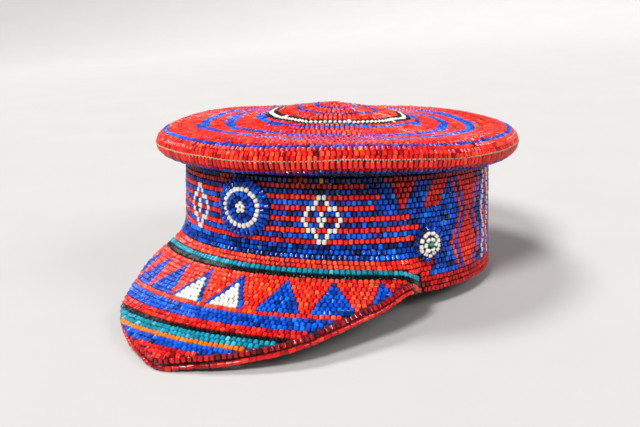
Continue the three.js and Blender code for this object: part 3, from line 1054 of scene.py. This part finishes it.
def band_along(row):
    """Length along the face for a row of the band."""
    def along_of(angle):
        level = FIRST_BAND_ROW + BAND_PITCH * row + 0 * angle
        squeezed = FIRST_BAND_ROW + BAND_PITCH * min(row, SQUEEZE_ROW)
        squeezed = squeezed + flare_pitch(angle) * max(0, row - SQUEEZE_ROW)
        return np.where(np.abs(angle) < FRONT_ANGLE - 1, squeezed, level)
    return along_of


# %% Tones of a row of the band
RED_TONES = {15: 0.75, 16: 0.75, 19: 0.4, 20: 0.4, 21: 0.4}
PLAIN_RED_TONE = 0.58
PLAIN_BLUE_TONE = 0.5
WHITE_TONE = 0.8
# The top rows lie under the rim, and their tones are lowered: painted shade from the rim.
SHADED_ROWS = {0: 0.38, 1: 0.68, 2: 0.75}
FLARE_BEAD_GAP = 0.12
# The top row changes between red and blue every few beads, and has one odd amber bead.
MIXED_STRETCH = 4
MIXED_SHARE = 0.5
MIXED_ANGLE = 45
AMBER_ANGLE = 25


def mixed_row(where):
    """Colours of the top row of the band."""
    stretch = draws.random(len(where) // MIXED_STRETCH + 1)
    stretch = np.repeat(stretch, MIXED_STRETCH)[:len(where)]
    colour = np.where((stretch < MIXED_SHARE) | (np.abs(where) > MIXED_ANGLE), RED, BLUE)
    colour[np.abs(where - AMBER_ANGLE) < BEAD_ANGLE / 2] = GOLD
    return colour


def lay_band_row(beads, row, where, along_of):
    """Adds the beads of a row that no ornament hides."""
    along = along_of(where)
    hidden = on_ornament(where, along, BADGE, BADGE["angle"])
    for middle in ROSETTE_ANGLES.values():
        hidden |= on_ornament(where, along, ROSETTE, middle)
    where = where[~hidden]
    if len(where) == 0:
        return
    count = len(where)
    place, row_way, hole = row_frame(wall_point, where, along_of, BEAD_DEPTH)
    colour = np.array([band_colour(angle, row) for angle in where])
    blue_tone = patchy(count, PLAIN_BLUE_TONE, spread=0.2)
    red_tone = patchy(count, RED_TONES.get(row, PLAIN_RED_TONE), spread=0.11, patch=0.07)
    # Painted shade: the top rows under the rim get darker tones
    tone = np.where(colour == RED, red_tone, blue_tone) * SHADED_ROWS.get(row, 1)
    if row == 0:
        colour = mixed_row(where)
    tone = np.where(colour == WHITE, WHITE_TONE, tone)
    length = BEAD_LENGTH
    if SQUEEZE_ROW < row < FIRST_OPEN_ROW:
        in_flare = np.abs(where) < FRONT_ANGLE - 1
        length = np.where(in_flare, flare_pitch(where) - FLARE_BEAD_GAP, BEAD_LENGTH)
    beads.add(place, row_way, hole, colour, tone, length=length)


# %% Lay the band, in a front and a back piece
# The angle from the front at which each of the lower rows begins, beside the visor
ROW_BEGINS = {17: 52.0, 18: 58.2, 19: 58.8, 20: 59.6, 21: 60.0}
beads_front = BeadList()
beads_back = BeadList()

for row in range(BAND_ROWS):
    along_of = band_along(row)
    half = row % 2 == 1
    begin = ROW_BEGINS.get(row, 0)
    if row < FIRST_OPEN_ROW:
        count = FRONT_BEADS if row <= SQUEEZE_ROW else None
        where, count = spaced_angles(wall_point, along_of, -FRONT_ANGLE, FRONT_ANGLE, BEAD_DEPTH,
                                     half, count)
        lay_band_row(beads_front, row, where, along_of)
    elif begin < FRONT_ANGLE:
        for side in (-1, 1):
            where, count = spaced_angles(wall_point, along_of, side * begin, side * FRONT_ANGLE,
                                         BEAD_DEPTH, True)
            lay_band_row(beads_front, row, where, along_of)
    steps = np.arange(BACK_BEADS) + (0.5 if half else 0)
    where = FRONT_ANGLE + steps * BEAD_ANGLE
    where = where[(where >= begin) & (360 - where >= begin)]
    where = np.where(where > 180, where - 360, where)
    lay_band_row(beads_back, row, where, along_of)
join_beads("band_beads_front", beads_front, ("band",))
join_beads("band_beads_back", beads_back)

# %% [markdown]
# ## The visor's beads
# The rows of the visor run beside its seam, so they are curves that the slanting edge cuts off one by
# one. Under the turquoise and the black row comes a belt of stepped triangles, in which each row is
# one bead wider than the row above. The two white ones have a blue outline. Then come plain rows of
# blue, red, black, turquoise and orange. Beads spaced evenly along a whole row would drift off the
# triangles, so each row is laid from the middle of one triangle to the middle of the next with a
# whole number of beads. Each triangle is then true, and no gap opens between.

# %% Rows and colours of the visor
VISOR_ROWS = 26
VISOR_PITCH = 2.7
FIRST_VISOR_STEP = 0.5
TRIANGLE_MIDDLES = np.array([-52.0, -40.9, -29.9, -18.7, -7.5, 4.1, 17.4, 29.8, 42.3, 54.5])
WHITE_TRIANGLES = (-7.5, 4.1)
TRIANGLE_ROWS = range(2, 10)
FIRST_WHITE_ROW = 4
TRIANGLE_SLACK = 0.2
ROW_COLOURS = {
    -1: TEAL, 0: BLACK, 11: BLUE, 12: BLUE, 13: BLUE, 16: BLACK, 17: TEAL, 18: TEAL, 19: ORANGE,
    20: BLUE, 21: BLUE,
}


def visor_along(row):
    """Length along the face for a row of the visor, counted from the black row at its seam."""
    def along_of(angle):
        if row < 0:
            return black_row(angle) - TURQUOISE_PITCH
        return black_row(angle) + VISOR_PITCH * row + min(row, 1) * FIRST_VISOR_STEP
    return along_of


def visor_colour(row, steps, white):
    """Colour of a bead that is so many beads from the middle of a triangle."""
    half = (row - 1) / 2 - TRIANGLE_SLACK
    if row in TRIANGLE_ROWS and steps < half:
        outline = steps > half - 1 or row < FIRST_WHITE_ROW
        return BLUE if outline or not white else WHITE
    return ROW_COLOURS.get(row, RED)


# %% Where a row's beads sit
RUN_STOPS = 60
NARROW_SPACING = 1.85
VISOR_END = 59.8


def run_along(along_of, start, end):
    """Angles close together from a start to an end, and the length of the row up to each of them."""
    fine = np.linspace(start, end, RUN_STOPS)
    return fine, true_lengths(wall_point(fine, along_of(fine), BEAD_DEPTH))


def visor_stops(row, along_of):
    """Angles of a row's beads, and for each how many beads off and which its triangle is."""
    shift = 0.0 if row % 2 == 0 else 0.5
    spacing = NARROW_SPACING if row == 0 else SPACING
    stops = []
    for left, right in zip(TRIANGLE_MIDDLES[:-1], TRIANGLE_MIDDLES[1:]):
        fine, run = run_along(along_of, left, right)
        count = max(1, round(run[-1] / spacing))
        steps = np.arange(count) + shift
        angle = np.interp(steps * run[-1] / count, run, fine)
        nearer = steps <= count / 2
        stops.append((angle, np.where(nearer, steps, count - steps), np.where(nearer, left, right)))
    for middle, end in ((TRIANGLE_MIDDLES[0], -VISOR_END), (TRIANGLE_MIDDLES[-1], VISOR_END)):
        fine, run = run_along(along_of, middle, end)
        first = 1.0 if middle < 0 and not shift else shift
        steps = np.arange(first, run[-1] / spacing)
        stops.append((np.interp(steps * spacing, run, fine), steps, np.full(len(steps), middle)))
    return [np.concatenate(column) for column in zip(*stops)]


# %% Lay the visor
ROW_ENDS = {-1: 57.2, 0: 58.6}
PART_BLUE_ROW = 10
PART_BLUE_START = 32
BINDING_START = -10
BINDING_END = 52
BINDING_WIDTH = 2.7
FITS = 0.45
VISOR_STRAYS = 0.012
TONES = {RED: 0.74, BLUE: 0.6, TEAL: 0.5, BLACK: 0.5, ORANGE: 0.5, WHITE: 0.9}
DULL_RED_ROW = 14
DULL_RED_TONE = 0.5
TONE_SPREAD = 0.15
NARROW_WIDTH = 1.7
SEAM_ROW_LENGTH = 2.85

beads = BeadList()
for row in range(-1, VISOR_ROWS):
    along_of = visor_along(row)
    where, steps, middle = visor_stops(row, along_of)
    white = np.isin(middle, WHITE_TRIANGLES)
    colour = np.array([visor_colour(row, step, is_white) for step, is_white in zip(steps, white)])
    if row == PART_BLUE_ROW:
        colour = np.where(where > PART_BLUE_START, BLUE, colour)
    bound = (where > BINDING_START) & (where < BINDING_END)
    stop = lip_length(where) - BINDING_WIDTH * edge_stretch(where) * bound
    keep = np.abs(where) < ROW_ENDS.get(row, VISOR_END)
    keep &= along_of(where) + VISOR_PITCH * FITS < stop
    where, colour = where[keep], colour[keep]
    if len(where) == 0:
        continue
    place, row_way, hole = row_frame(wall_point, where, along_of, BEAD_DEPTH)
    strays = (colour == RED) & (draws.random(len(where)) < VISOR_STRAYS)
    colour = np.where(strays, ORANGE, colour)
    centre = np.array([TONES[k] for k in colour])
    if row >= DULL_RED_ROW:
        centre = np.where(colour == RED, DULL_RED_TONE, centre)
    tone = np.clip(draws.normal(centre, TONE_SPREAD), *TONE_RANGE)
    beads.add(place, row_way, hole, colour, tone, width=NARROW_WIDTH if row == 0 else BEAD_WIDTH,
              length=SEAM_ROW_LENGTH if row < 1 else BEAD_LENGTH)
join_beads("visor_beads", beads, ("visor",))

# %% [markdown]
# ## The visor's edge
# From the tip round to the wearer's left, a row of dark red beads binds the visor's edge and cuts off
# the rows above it. On the other side the rows run on to the edge. Below hangs one string of longer
# red beads, with the holes along the string. Both follow the edge, so they are rows like the others,
# and the string's beads are only turned by a quarter.

# %% Beads of the binding
def binding_along(angle):
    return lip_length(angle) - 0.5 * BINDING_WIDTH * edge_stretch(angle)


where, count = spaced_angles(wall_point, binding_along, BINDING_START, BINDING_END, BEAD_DEPTH, True)
place, row_way, hole = row_frame(wall_point, where, binding_along, BEAD_DEPTH)
binding = BeadList()
binding.add(place, row_way, hole, RED, patchy(count, 0.26, spread=0.1), length=2.5, loose=1.5)
join_beads("visor_binding_beads", binding)

# %% Beads of the string
STRAND_BEADS = 76
STRAND_BEAD_WIDTH = 2.4
STRAND_BEAD_LENGTH = 3.6
STRAND_DARK_END = BINDING_START - 8
STRAND_DARK_TONE = 0.2


def strand_along(angle):
    return edge_length(angle) - STRAND_DIAMETER / 2 * edge_stretch(angle)


where, count = spaced_angles(wall_point, strand_along, -STRAND_END_ANGLE, STRAND_END_ANGLE,
                             VISOR_WALL / 2, True, STRAND_BEADS)
place, row_way, hole = row_frame(wall_point, where, strand_along, VISOR_WALL / 2)
strand = BeadList()
tone = np.where(where > STRAND_DARK_END, patchy(count, 0.44, spread=0.1), STRAND_DARK_TONE)
strand.add(place, -hole, row_way, RED, tone, width=STRAND_BEAD_WIDTH, length=STRAND_BEAD_LENGTH)
join_beads("visor_edge_beads", strand, ("visor_edge_strand",))

# %% [markdown]
# ## The badge and the rosettes
# The badge is an oval boss on the front of the band: rings of blue beads whose holes point to the
# middle, with one ring of white and a small white flower at the centre. A rosette is a green bead in
# two rings of white ones that are strung round it, with a ring of blue spokes outside. Both are low
# domes on a pad of canvas. A dome of their own face, laid over the band's, lets their rings be laid
# by the same functions as the rows.

# %% Places on a domed ornament
ORNAMENT_GAP = 0.5
DOME_REACHES = [0, 0.45, 0.8, 1.0]
SHOULDER = 0.55


def dome_face(piece, middle):
    """A face for an ornament: angles round its middle, against the clock, and lengths out from it."""
    rise = piece["dome"] - piece["edge"]
    lifts = [piece["dome"], piece["dome"], piece["edge"] + SHOULDER * rise, piece["edge"]]

    def place(angle, along, depth=0.0):
        turn = np.radians(angle)
        across = along * np.cos(turn)
        down = -along * np.sin(turn) * piece["half_height"] / piece["half_width"]
        lift = np.interp(along / piece["half_width"], DOME_REACHES, lifts)
        around_band = middle + np.degrees(across / HEM_RADIUS)
        return wall_point(around_band, piece["along"] + down, depth - ORNAMENT_GAP - lift)
    return place


# %% Rings and pads of an ornament
RING_BEAD_LENGTH = 2.5
PAD = {"middle": 0.05, "inset": 0.7, "thickness": 0.8, "columns": 40, "rows": 8, "cloth": (40, 12)}


def lay_ring(beads, face, radius, count, colour, tone, spokes=True, length=RING_BEAD_LENGTH,
             loose=1.0, width=BEAD_WIDTH):
    """A ring of beads whose holes point to the middle as spokes, or that are strung round it."""
    where = np.arange(count) * 360 / count + draws.uniform(0, 360 / count)
    place, row_way, outward = row_frame(face, where, level_row(radius), BEAD_DEPTH)
    if spokes:
        beads.add(place, row_way, outward, colour, patchy(count, tone), width, length, loose)
    else:
        tone = patchy(count, tone, spread=0.08)
        beads.add(place, -outward, row_way, colour, tone, width, length, loose)


def pad(name, piece, middle):
    """The small sheet of canvas under an ornament's beads."""
    face = dome_face(piece, middle)
    reach = piece["half_width"] - PAD["inset"]

    def cover(across, down, depth):
        return face(across * 360, PAD["middle"] + reach * down, depth)
    bend_sheet(name, PAD["columns"], PAD["rows"], cover, RAISED_DEPTH, PAD["thickness"],
               PAD["cloth"])


# %% Badge
BADGE_RINGS = [
    {"radius": 1.9, "count": 5, "colour": WHITE, "tone": 0.8, "loose": 1.0},
    {"radius": 4.6, "count": 11, "colour": BLUE, "tone": 0.55, "loose": 3.0},
    {"radius": 7.3, "count": 17, "colour": BLUE, "tone": 0.5, "loose": 3.0},
    {"radius": 10.2, "count": 24, "colour": WHITE, "tone": 0.8, "loose": 1.5},
    {"radius": 12.9, "count": 30, "colour": BLUE, "tone": 0.55, "loose": 1.5},
    {"radius": 15.1, "count": 35, "colour": BLUE, "tone": 0.4, "loose": 1.5},
]
badge_face = dome_face(BADGE, BADGE["angle"])
beads = BeadList()
for ring in BADGE_RINGS:
    lay_ring(beads, badge_face, **ring)
join_beads("badge_beads", beads, ("badge",))
pad("badge_pad", BADGE, BADGE["angle"])

# %% Rosettes
ROSETTE_RINGS = [
    {"radius": 2.8, "count": 6, "colour": WHITE, "tone": 0.8, "spokes": False, "length": 2.3},
    {"radius": 5.5, "count": 13, "colour": WHITE, "tone": 0.75, "spokes": False, "length": 2.2},
    {"radius": 8.0, "count": 17, "colour": BLUE, "tone": 0.3, "spokes": True, "length": 2.7},
]
ROSETTE_LOOSE = 3.2
ROSETTE_BEAD_WIDTH = 2.2
CENTRE_DEPTH = 1.2
CENTRE_BEAD = {"width": 2.9, "length": 2.7}


def on_dome(face, along, depth):
    """One point of an ornament, straight to the side of its middle."""
    return face(np.array([0.0]), np.array([along]), depth)


for name, middle in ROSETTE_ANGLES.items():
    face = dome_face(ROSETTE, middle)
    beads = BeadList()
    for ring in ROSETTE_RINGS:
        lay_ring(beads, face, **ring, loose=ROSETTE_LOOSE, width=ROSETTE_BEAD_WIDTH)
    centre = on_dome(face, 0.01, CENTRE_DEPTH)
    aside = unit(on_dome(face, 3.0, CENTRE_DEPTH) - centre)
    outwards = unit(on_dome(face, 0.01, -1.0) - centre)
    beads.add(centre, aside, outwards, GREEN, 0.5, **CENTRE_BEAD)
    join_beads(f"{name}_beads", beads, (name,))
    pad(f"{name}_pad", ROSETTE, middle)

# %% [markdown]
# ## Thread
# The crown's top and underside are whipped together with beige thread, which shows as a thin wavy
# line all round the rim. Elsewhere a short stitch peeps out between two beads here and there. Each
# could be a curve with a bevel, but there are hundreds, so one array step makes all the tubes of a
# piece as one mesh.

# %% Threads as thin tubes
THREAD_SIDES = 5
NEARLY_UPRIGHT = 0.9


def tube(lines, radius, closed):
    """Points and faces of round tubes through lines, an array of lines by stops by 3."""
    count, stops, _ = lines.shape
    if closed:
        way = unit(np.roll(lines, -1, axis=1) - np.roll(lines, 1, axis=1))
    else:
        way = unit(np.gradient(lines, axis=1))
    upright = np.abs(way[..., 2:3]) >= NEARLY_UPRIGHT
    helper = np.where(upright, np.array([1.0, 0, 0]), np.array([0, 0, 1.0]))
    first = unit(np.cross(way, helper))
    second = np.cross(way, first)
    turn = np.arange(THREAD_SIDES) * 2 * math.pi / THREAD_SIDES
    ring = first[..., None, :] * np.cos(turn)[:, None] + second[..., None, :] * np.sin(turn)[:, None]
    points = lines[..., None, :] + ring * radius
    spans = stops if closed else stops - 1
    base = np.arange(count)[:, None, None] * stops
    here = (base + np.arange(spans)[None, :, None]) * THREAD_SIDES
    there = (base + (np.arange(spans)[None, :, None] + 1) % stops) * THREAD_SIDES
    k = np.arange(THREAD_SIDES)
    after = (k + 1) % THREAD_SIDES
    faces = np.stack([here + k, here + after, there + after, there + k], axis=-1)
    corners = faces.ravel()
    sizes = np.full(len(corners) // 4, 4)
    if not closed:
        start = np.arange(count)[:, None] * stops * THREAD_SIDES
        end = start + (stops - 1) * THREAD_SIDES
        corners = np.concatenate([corners, (start + k[::-1]).ravel(), (end + k).ravel()])
        sizes = np.concatenate([sizes, np.full(2 * count, THREAD_SIDES)])
    return points.reshape(-1, 3), corners, sizes


def thread_piece(name, lines, material, radius, closed=False):
    """Tubes along lines as one finished piece, with every face turned outwards."""
    piece = mesh_from_arrays(name, *tube(lines, radius, closed))
    start_fresh()
    piece.select_set(True)
    bpy.context.view_layer.objects.active = piece
    bpy.ops.object.mode_set(mode="EDIT")
    bpy.ops.mesh.select_all(action="SELECT")
    bpy.ops.mesh.normals_make_consistent(inside=False)
    bpy.ops.object.mode_set(mode="OBJECT")
    print(name, len(piece.data.polygons), "faces")
    finish_piece(piece, [material])


# %% The seam's thread
# It goes over the seam at each bead, and dips into the gap between two beads. A slow wave in both
# keeps the whipping from looking machined.
RIM_BEADS = 246
STOPS_PER_BEAD = 4
SEAM_ALONG = top_run - 0.1
SEAM_SWING = 0.6
SEAM_DIP = 0.95
LEAST_DIP = 0.15
SLOW_WAVES = ((1, 7, 0), (0.6, 17, 1))
SLOW_SWING = 0.3
SLOW_DIP = 0.35
SEAM_THREAD_RADIUS = 0.33

turns = np.linspace(-180, 180, RIM_BEADS * STOPS_PER_BEAD, endpoint=False)
beat = np.radians(turns) * RIM_BEADS
slow = wander(np.radians(turns), *SLOW_WAVES)
dip = SEAM_DIP - SEAM_DIP * np.cos(2 * beat) + SLOW_DIP * slow
along = SEAM_ALONG + SEAM_SWING * np.sin(beat) + SLOW_SWING * slow
line = top_face(turns, along, np.maximum(dip, LEAST_DIP))
thread_piece("seam_thread", line[None], beige_thread, SEAM_THREAD_RADIUS, closed=True)

# %% Loose stitches
STITCH_LENGTH = 1.5
STITCH_TILT = 0.5
STITCH_BOW = 0.35
STITCH_STOPS = 4
STITCH_RADIUS = 0.16
EDGE_MARGIN = 2
STITCHES = [
    {"face": top_face, "count": 130, "widest": 180, "rows": (3, TOP_ROWS), "pitch": RING_PITCH,
     "first": level_row(FIRST_RING), "end": level_row(math.inf), "depth": 0.75},
    {"face": wall_point, "count": 70, "widest": 180, "rows": (0, 14), "pitch": BAND_PITCH,
     "first": level_row(FIRST_BAND_ROW), "end": level_row(math.inf), "depth": 0.75},
    {"face": wall_point, "count": 60, "widest": 50, "rows": (0, 20), "pitch": VISOR_PITCH,
     "first": black_row, "end": lip_length, "depth": 0.7},
]


def bowed_stitches(face, angle, along, depth):
    """Short bowed stitches that lie along a row."""
    shares = np.linspace(-0.5, 0.5, STITCH_STOPS)
    base = face(angle, along, depth)
    reach = np.degrees(STITCH_LENGTH / np.hypot(base[:, 0], base[:, 1]))
    sink = depth - STITCH_BOW * (1 - (2 * shares) ** 2)
    lines = [face(angle + reach * s, along + STITCH_TILT * s, d) for s, d in zip(shares, sink)]
    return np.stack(lines, axis=1)


lines = []
for part in STITCHES:
    angle = draws.uniform(-part["widest"], part["widest"], part["count"])
    row = draws.integers(*part["rows"], part["count"])
    along = part["first"](angle) + part["pitch"] * (row + 0.5)
    inside = along < part["end"](angle) - EDGE_MARGIN
    lines.append(bowed_stitches(part["face"], angle[inside], along[inside], part["depth"]))
thread_piece("loose_stitches", np.concatenate(lines), beige_thread, STITCH_RADIUS)

# %% The second thread on the rim and the loop on the crown
RIM_THREAD = {"from": 92, "to": 150, "stops": 160, "above_seam": 5.6, "swing": 0.3, "depth": 0.4}
RIM_THREAD_RADIUS = 0.3
LOOP_PLACE = {"angle": 120.0, "along": 11.0, "depth": 0.6}
LOOP_SIZE = {"x": 1.5, "y": 0.6, "z": 2.0}
LOOP_SUNK = 0.3
LOOP_RADIUS = 0.4

turns = np.linspace(RIM_THREAD["from"], RIM_THREAD["to"], RIM_THREAD["stops"])
along = top_run - RIM_THREAD["above_seam"] + RIM_THREAD["swing"] * np.sin(turns * 4.3)
line = top_face(turns, along, RIM_THREAD["depth"])
thread_piece("rim_thread", line[None], beige_thread, RIM_THREAD_RADIUS)
loop_turn = np.linspace(-LOOP_SUNK, math.pi + LOOP_SUNK, 12)
foot = top_face(*(np.array([LOOP_PLACE[key]]) for key in ("angle", "along")), LOOP_PLACE["depth"])[0]
loop = foot + np.stack([LOOP_SIZE["x"] * np.cos(loop_turn), LOOP_SIZE["y"] * np.cos(loop_turn),
                        LOOP_SIZE["z"] * np.sin(loop_turn)], axis=1)
thread_piece("crown_loop", loop[None], turquoise_thread, LOOP_RADIUS)

# %% [markdown]
# ## Floor, light and camera
# The cap stands on a plain pale floor that sweeps up into a wall all round, so no edge shows from any
# side. Three lights are as soft as big windows. The strongest comes from the camera's left, one from
# high at the far left gives each bead its highlight and leaves the band shaded under the rim, and a
# weak one fills from the right. The camera stands 47 cm from the cap's axis on the wearer's left
# front, a little above the crown. Its place was worked out in the worn frame, so it leans with the
# cap.

# %% Floor
FLOOR_RADIUS = 2.2
FLOOR_SIDES = 96
SWEEP_RADIUS = 0.9
SWEEP_STEPS = 8
WALL_HEIGHT = 0.7
SWEEP_CREASE = math.radians(30)

start_fresh()
bpy.ops.mesh.primitive_circle_add(vertices=FLOOR_SIDES, radius=FLOOR_RADIUS, fill_type="NGON")
floor = bpy.context.object
floor.name = "floor"
bpy.ops.object.mode_set(mode="EDIT")
bpy.ops.mesh.select_mode(type="EDGE")
bpy.ops.mesh.select_all(action="DESELECT")
bpy.ops.mesh.select_non_manifold()
bends = np.linspace(0, math.pi / 2, SWEEP_STEPS + 1)
outs = FLOOR_RADIUS + SWEEP_RADIUS * np.sin(bends)
ups = SWEEP_RADIUS * (1 - np.cos(bends))
for step in range(SWEEP_STEPS):
    rise = (0, 0, ups[step + 1] - ups[step])
    bpy.ops.mesh.extrude_edges_move(TRANSFORM_OT_translate={"value": rise})
    widen = outs[step + 1] / outs[step]
    bpy.ops.transform.resize(value=(widen, widen, 1), center_override=(0, 0, 0))
bpy.ops.mesh.extrude_edges_move(TRANSFORM_OT_translate={"value": (0, 0, WALL_HEIGHT)})
bpy.ops.object.mode_set(mode="OBJECT")
bpy.ops.object.shade_smooth_by_angle(angle=SWEEP_CREASE)
print("floor and wall are", round(2 * outs[-1], 2), "m across")

# %% The floor's paper
PAPER_MOTTLES_PER_M = 60.0

# Matt studio paper: one pale grey that takes the cap's soft shadow and has no gloss
paper = new_material("pale_paper")
grain = add_node(paper, "ShaderNodeTexNoise", Scale=PAPER_MOTTLES_PER_M, Detail=4.0)
shade = add_node(paper, "ShaderNodeMix", {"data_type": "RGBA"}, n0=grain.outputs["Fac"],
                 n6=colour_of("#b2b0ae"), n7=colour_of("#b9b7b5"))
matt = add_node(paper, "ShaderNodeBsdfPrincipled", Base_Color=shade.outputs[2], Roughness=0.8)
add_node(paper, "ShaderNodeOutputMaterial", Surface=matt.outputs[0])
floor.data.materials.append(paper)

# %% Camera
PHOTO_WIDTH = 640
CAMERA_TURN = math.radians(30.5)
CAMERA_PLACE = Vector((0, -466.56, 121.653))
CAMERA_PITCH = 0.203
CAMERA_ROLL = -0.006
CAMERA_YAW = -0.022
FOCAL_PIXELS = 768.786
SENSOR = 36.0
NEAREST = 0.01

forward = Vector((math.sin(CAMERA_YAW) * math.cos(CAMERA_PITCH),
                  math.cos(CAMERA_YAW) * math.cos(CAMERA_PITCH), -math.sin(CAMERA_PITCH)))
level = Vector((math.cos(CAMERA_YAW), -math.sin(CAMERA_YAW), 0))
upright = level.cross(forward)
right = math.cos(CAMERA_ROLL) * level + math.sin(CAMERA_ROLL) * upright
up = -math.sin(CAMERA_ROLL) * level + math.cos(CAMERA_ROLL) * upright
turn = Matrix.Rotation(CAMERA_TURN, 3, "Z")
facing = lean @ turn @ Matrix((right, up, -forward)).transposed()
camera_data = bpy.data.cameras.new("camera")
camera_data.sensor_width = SENSOR
camera_data.lens = FOCAL_PIXELS * SENSOR / PHOTO_WIDTH
camera_data.clip_start = NEAREST
camera = bpy.data.objects.new("camera", camera_data)
camera.matrix_world = Matrix.Translation(to_rest @ (turn @ CAMERA_PLACE)) @ facing.to_4x4()
bpy.context.scene.collection.objects.link(camera)
bpy.context.scene.camera = camera
print("camera at", [round(v, 3) for v in camera.matrix_world.translation])


# %% Lights
def soft_sun(name, turn_left, elevation, strength, spread):
    """A light as soft as a big window, turned left from the camera's side of the cap."""
    towards = camera.matrix_world.translation.xy
    around_z = math.atan2(towards.y, towards.x) - math.radians(turn_left)
    high = math.radians(elevation)
    way = Vector((math.cos(around_z) * math.cos(high), math.sin(around_z) * math.cos(high),
                  math.sin(high)))
    data = bpy.data.lights.new(name, "SUN")
    data.energy = strength
    data.angle = math.radians(spread)
    lamp = bpy.data.objects.new(name, data)
    lamp.rotation_euler = way.to_track_quat("Z", "Y").to_euler()
    bpy.context.scene.collection.objects.link(lamp)


soft_sun("key", turn_left=35, elevation=46, strength=3.3, spread=16)
soft_sun("top", turn_left=115, elevation=64, strength=2.2, spread=18)
soft_sun("side", turn_left=-60, elevation=38, strength=1.0, spread=24)
world = bpy.data.worlds.new("studio")
world.use_nodes = True
sky = world.node_tree.nodes["Background"]
sky.inputs["Color"].default_value = colour_of("#e8e8ea")
sky.inputs["Strength"].default_value = 0.26
bpy.context.scene.world = world
bpy.context.scene.view_settings.view_transform = "Standard"
print("lights:", ", ".join(light.name for light in bpy.data.lights))
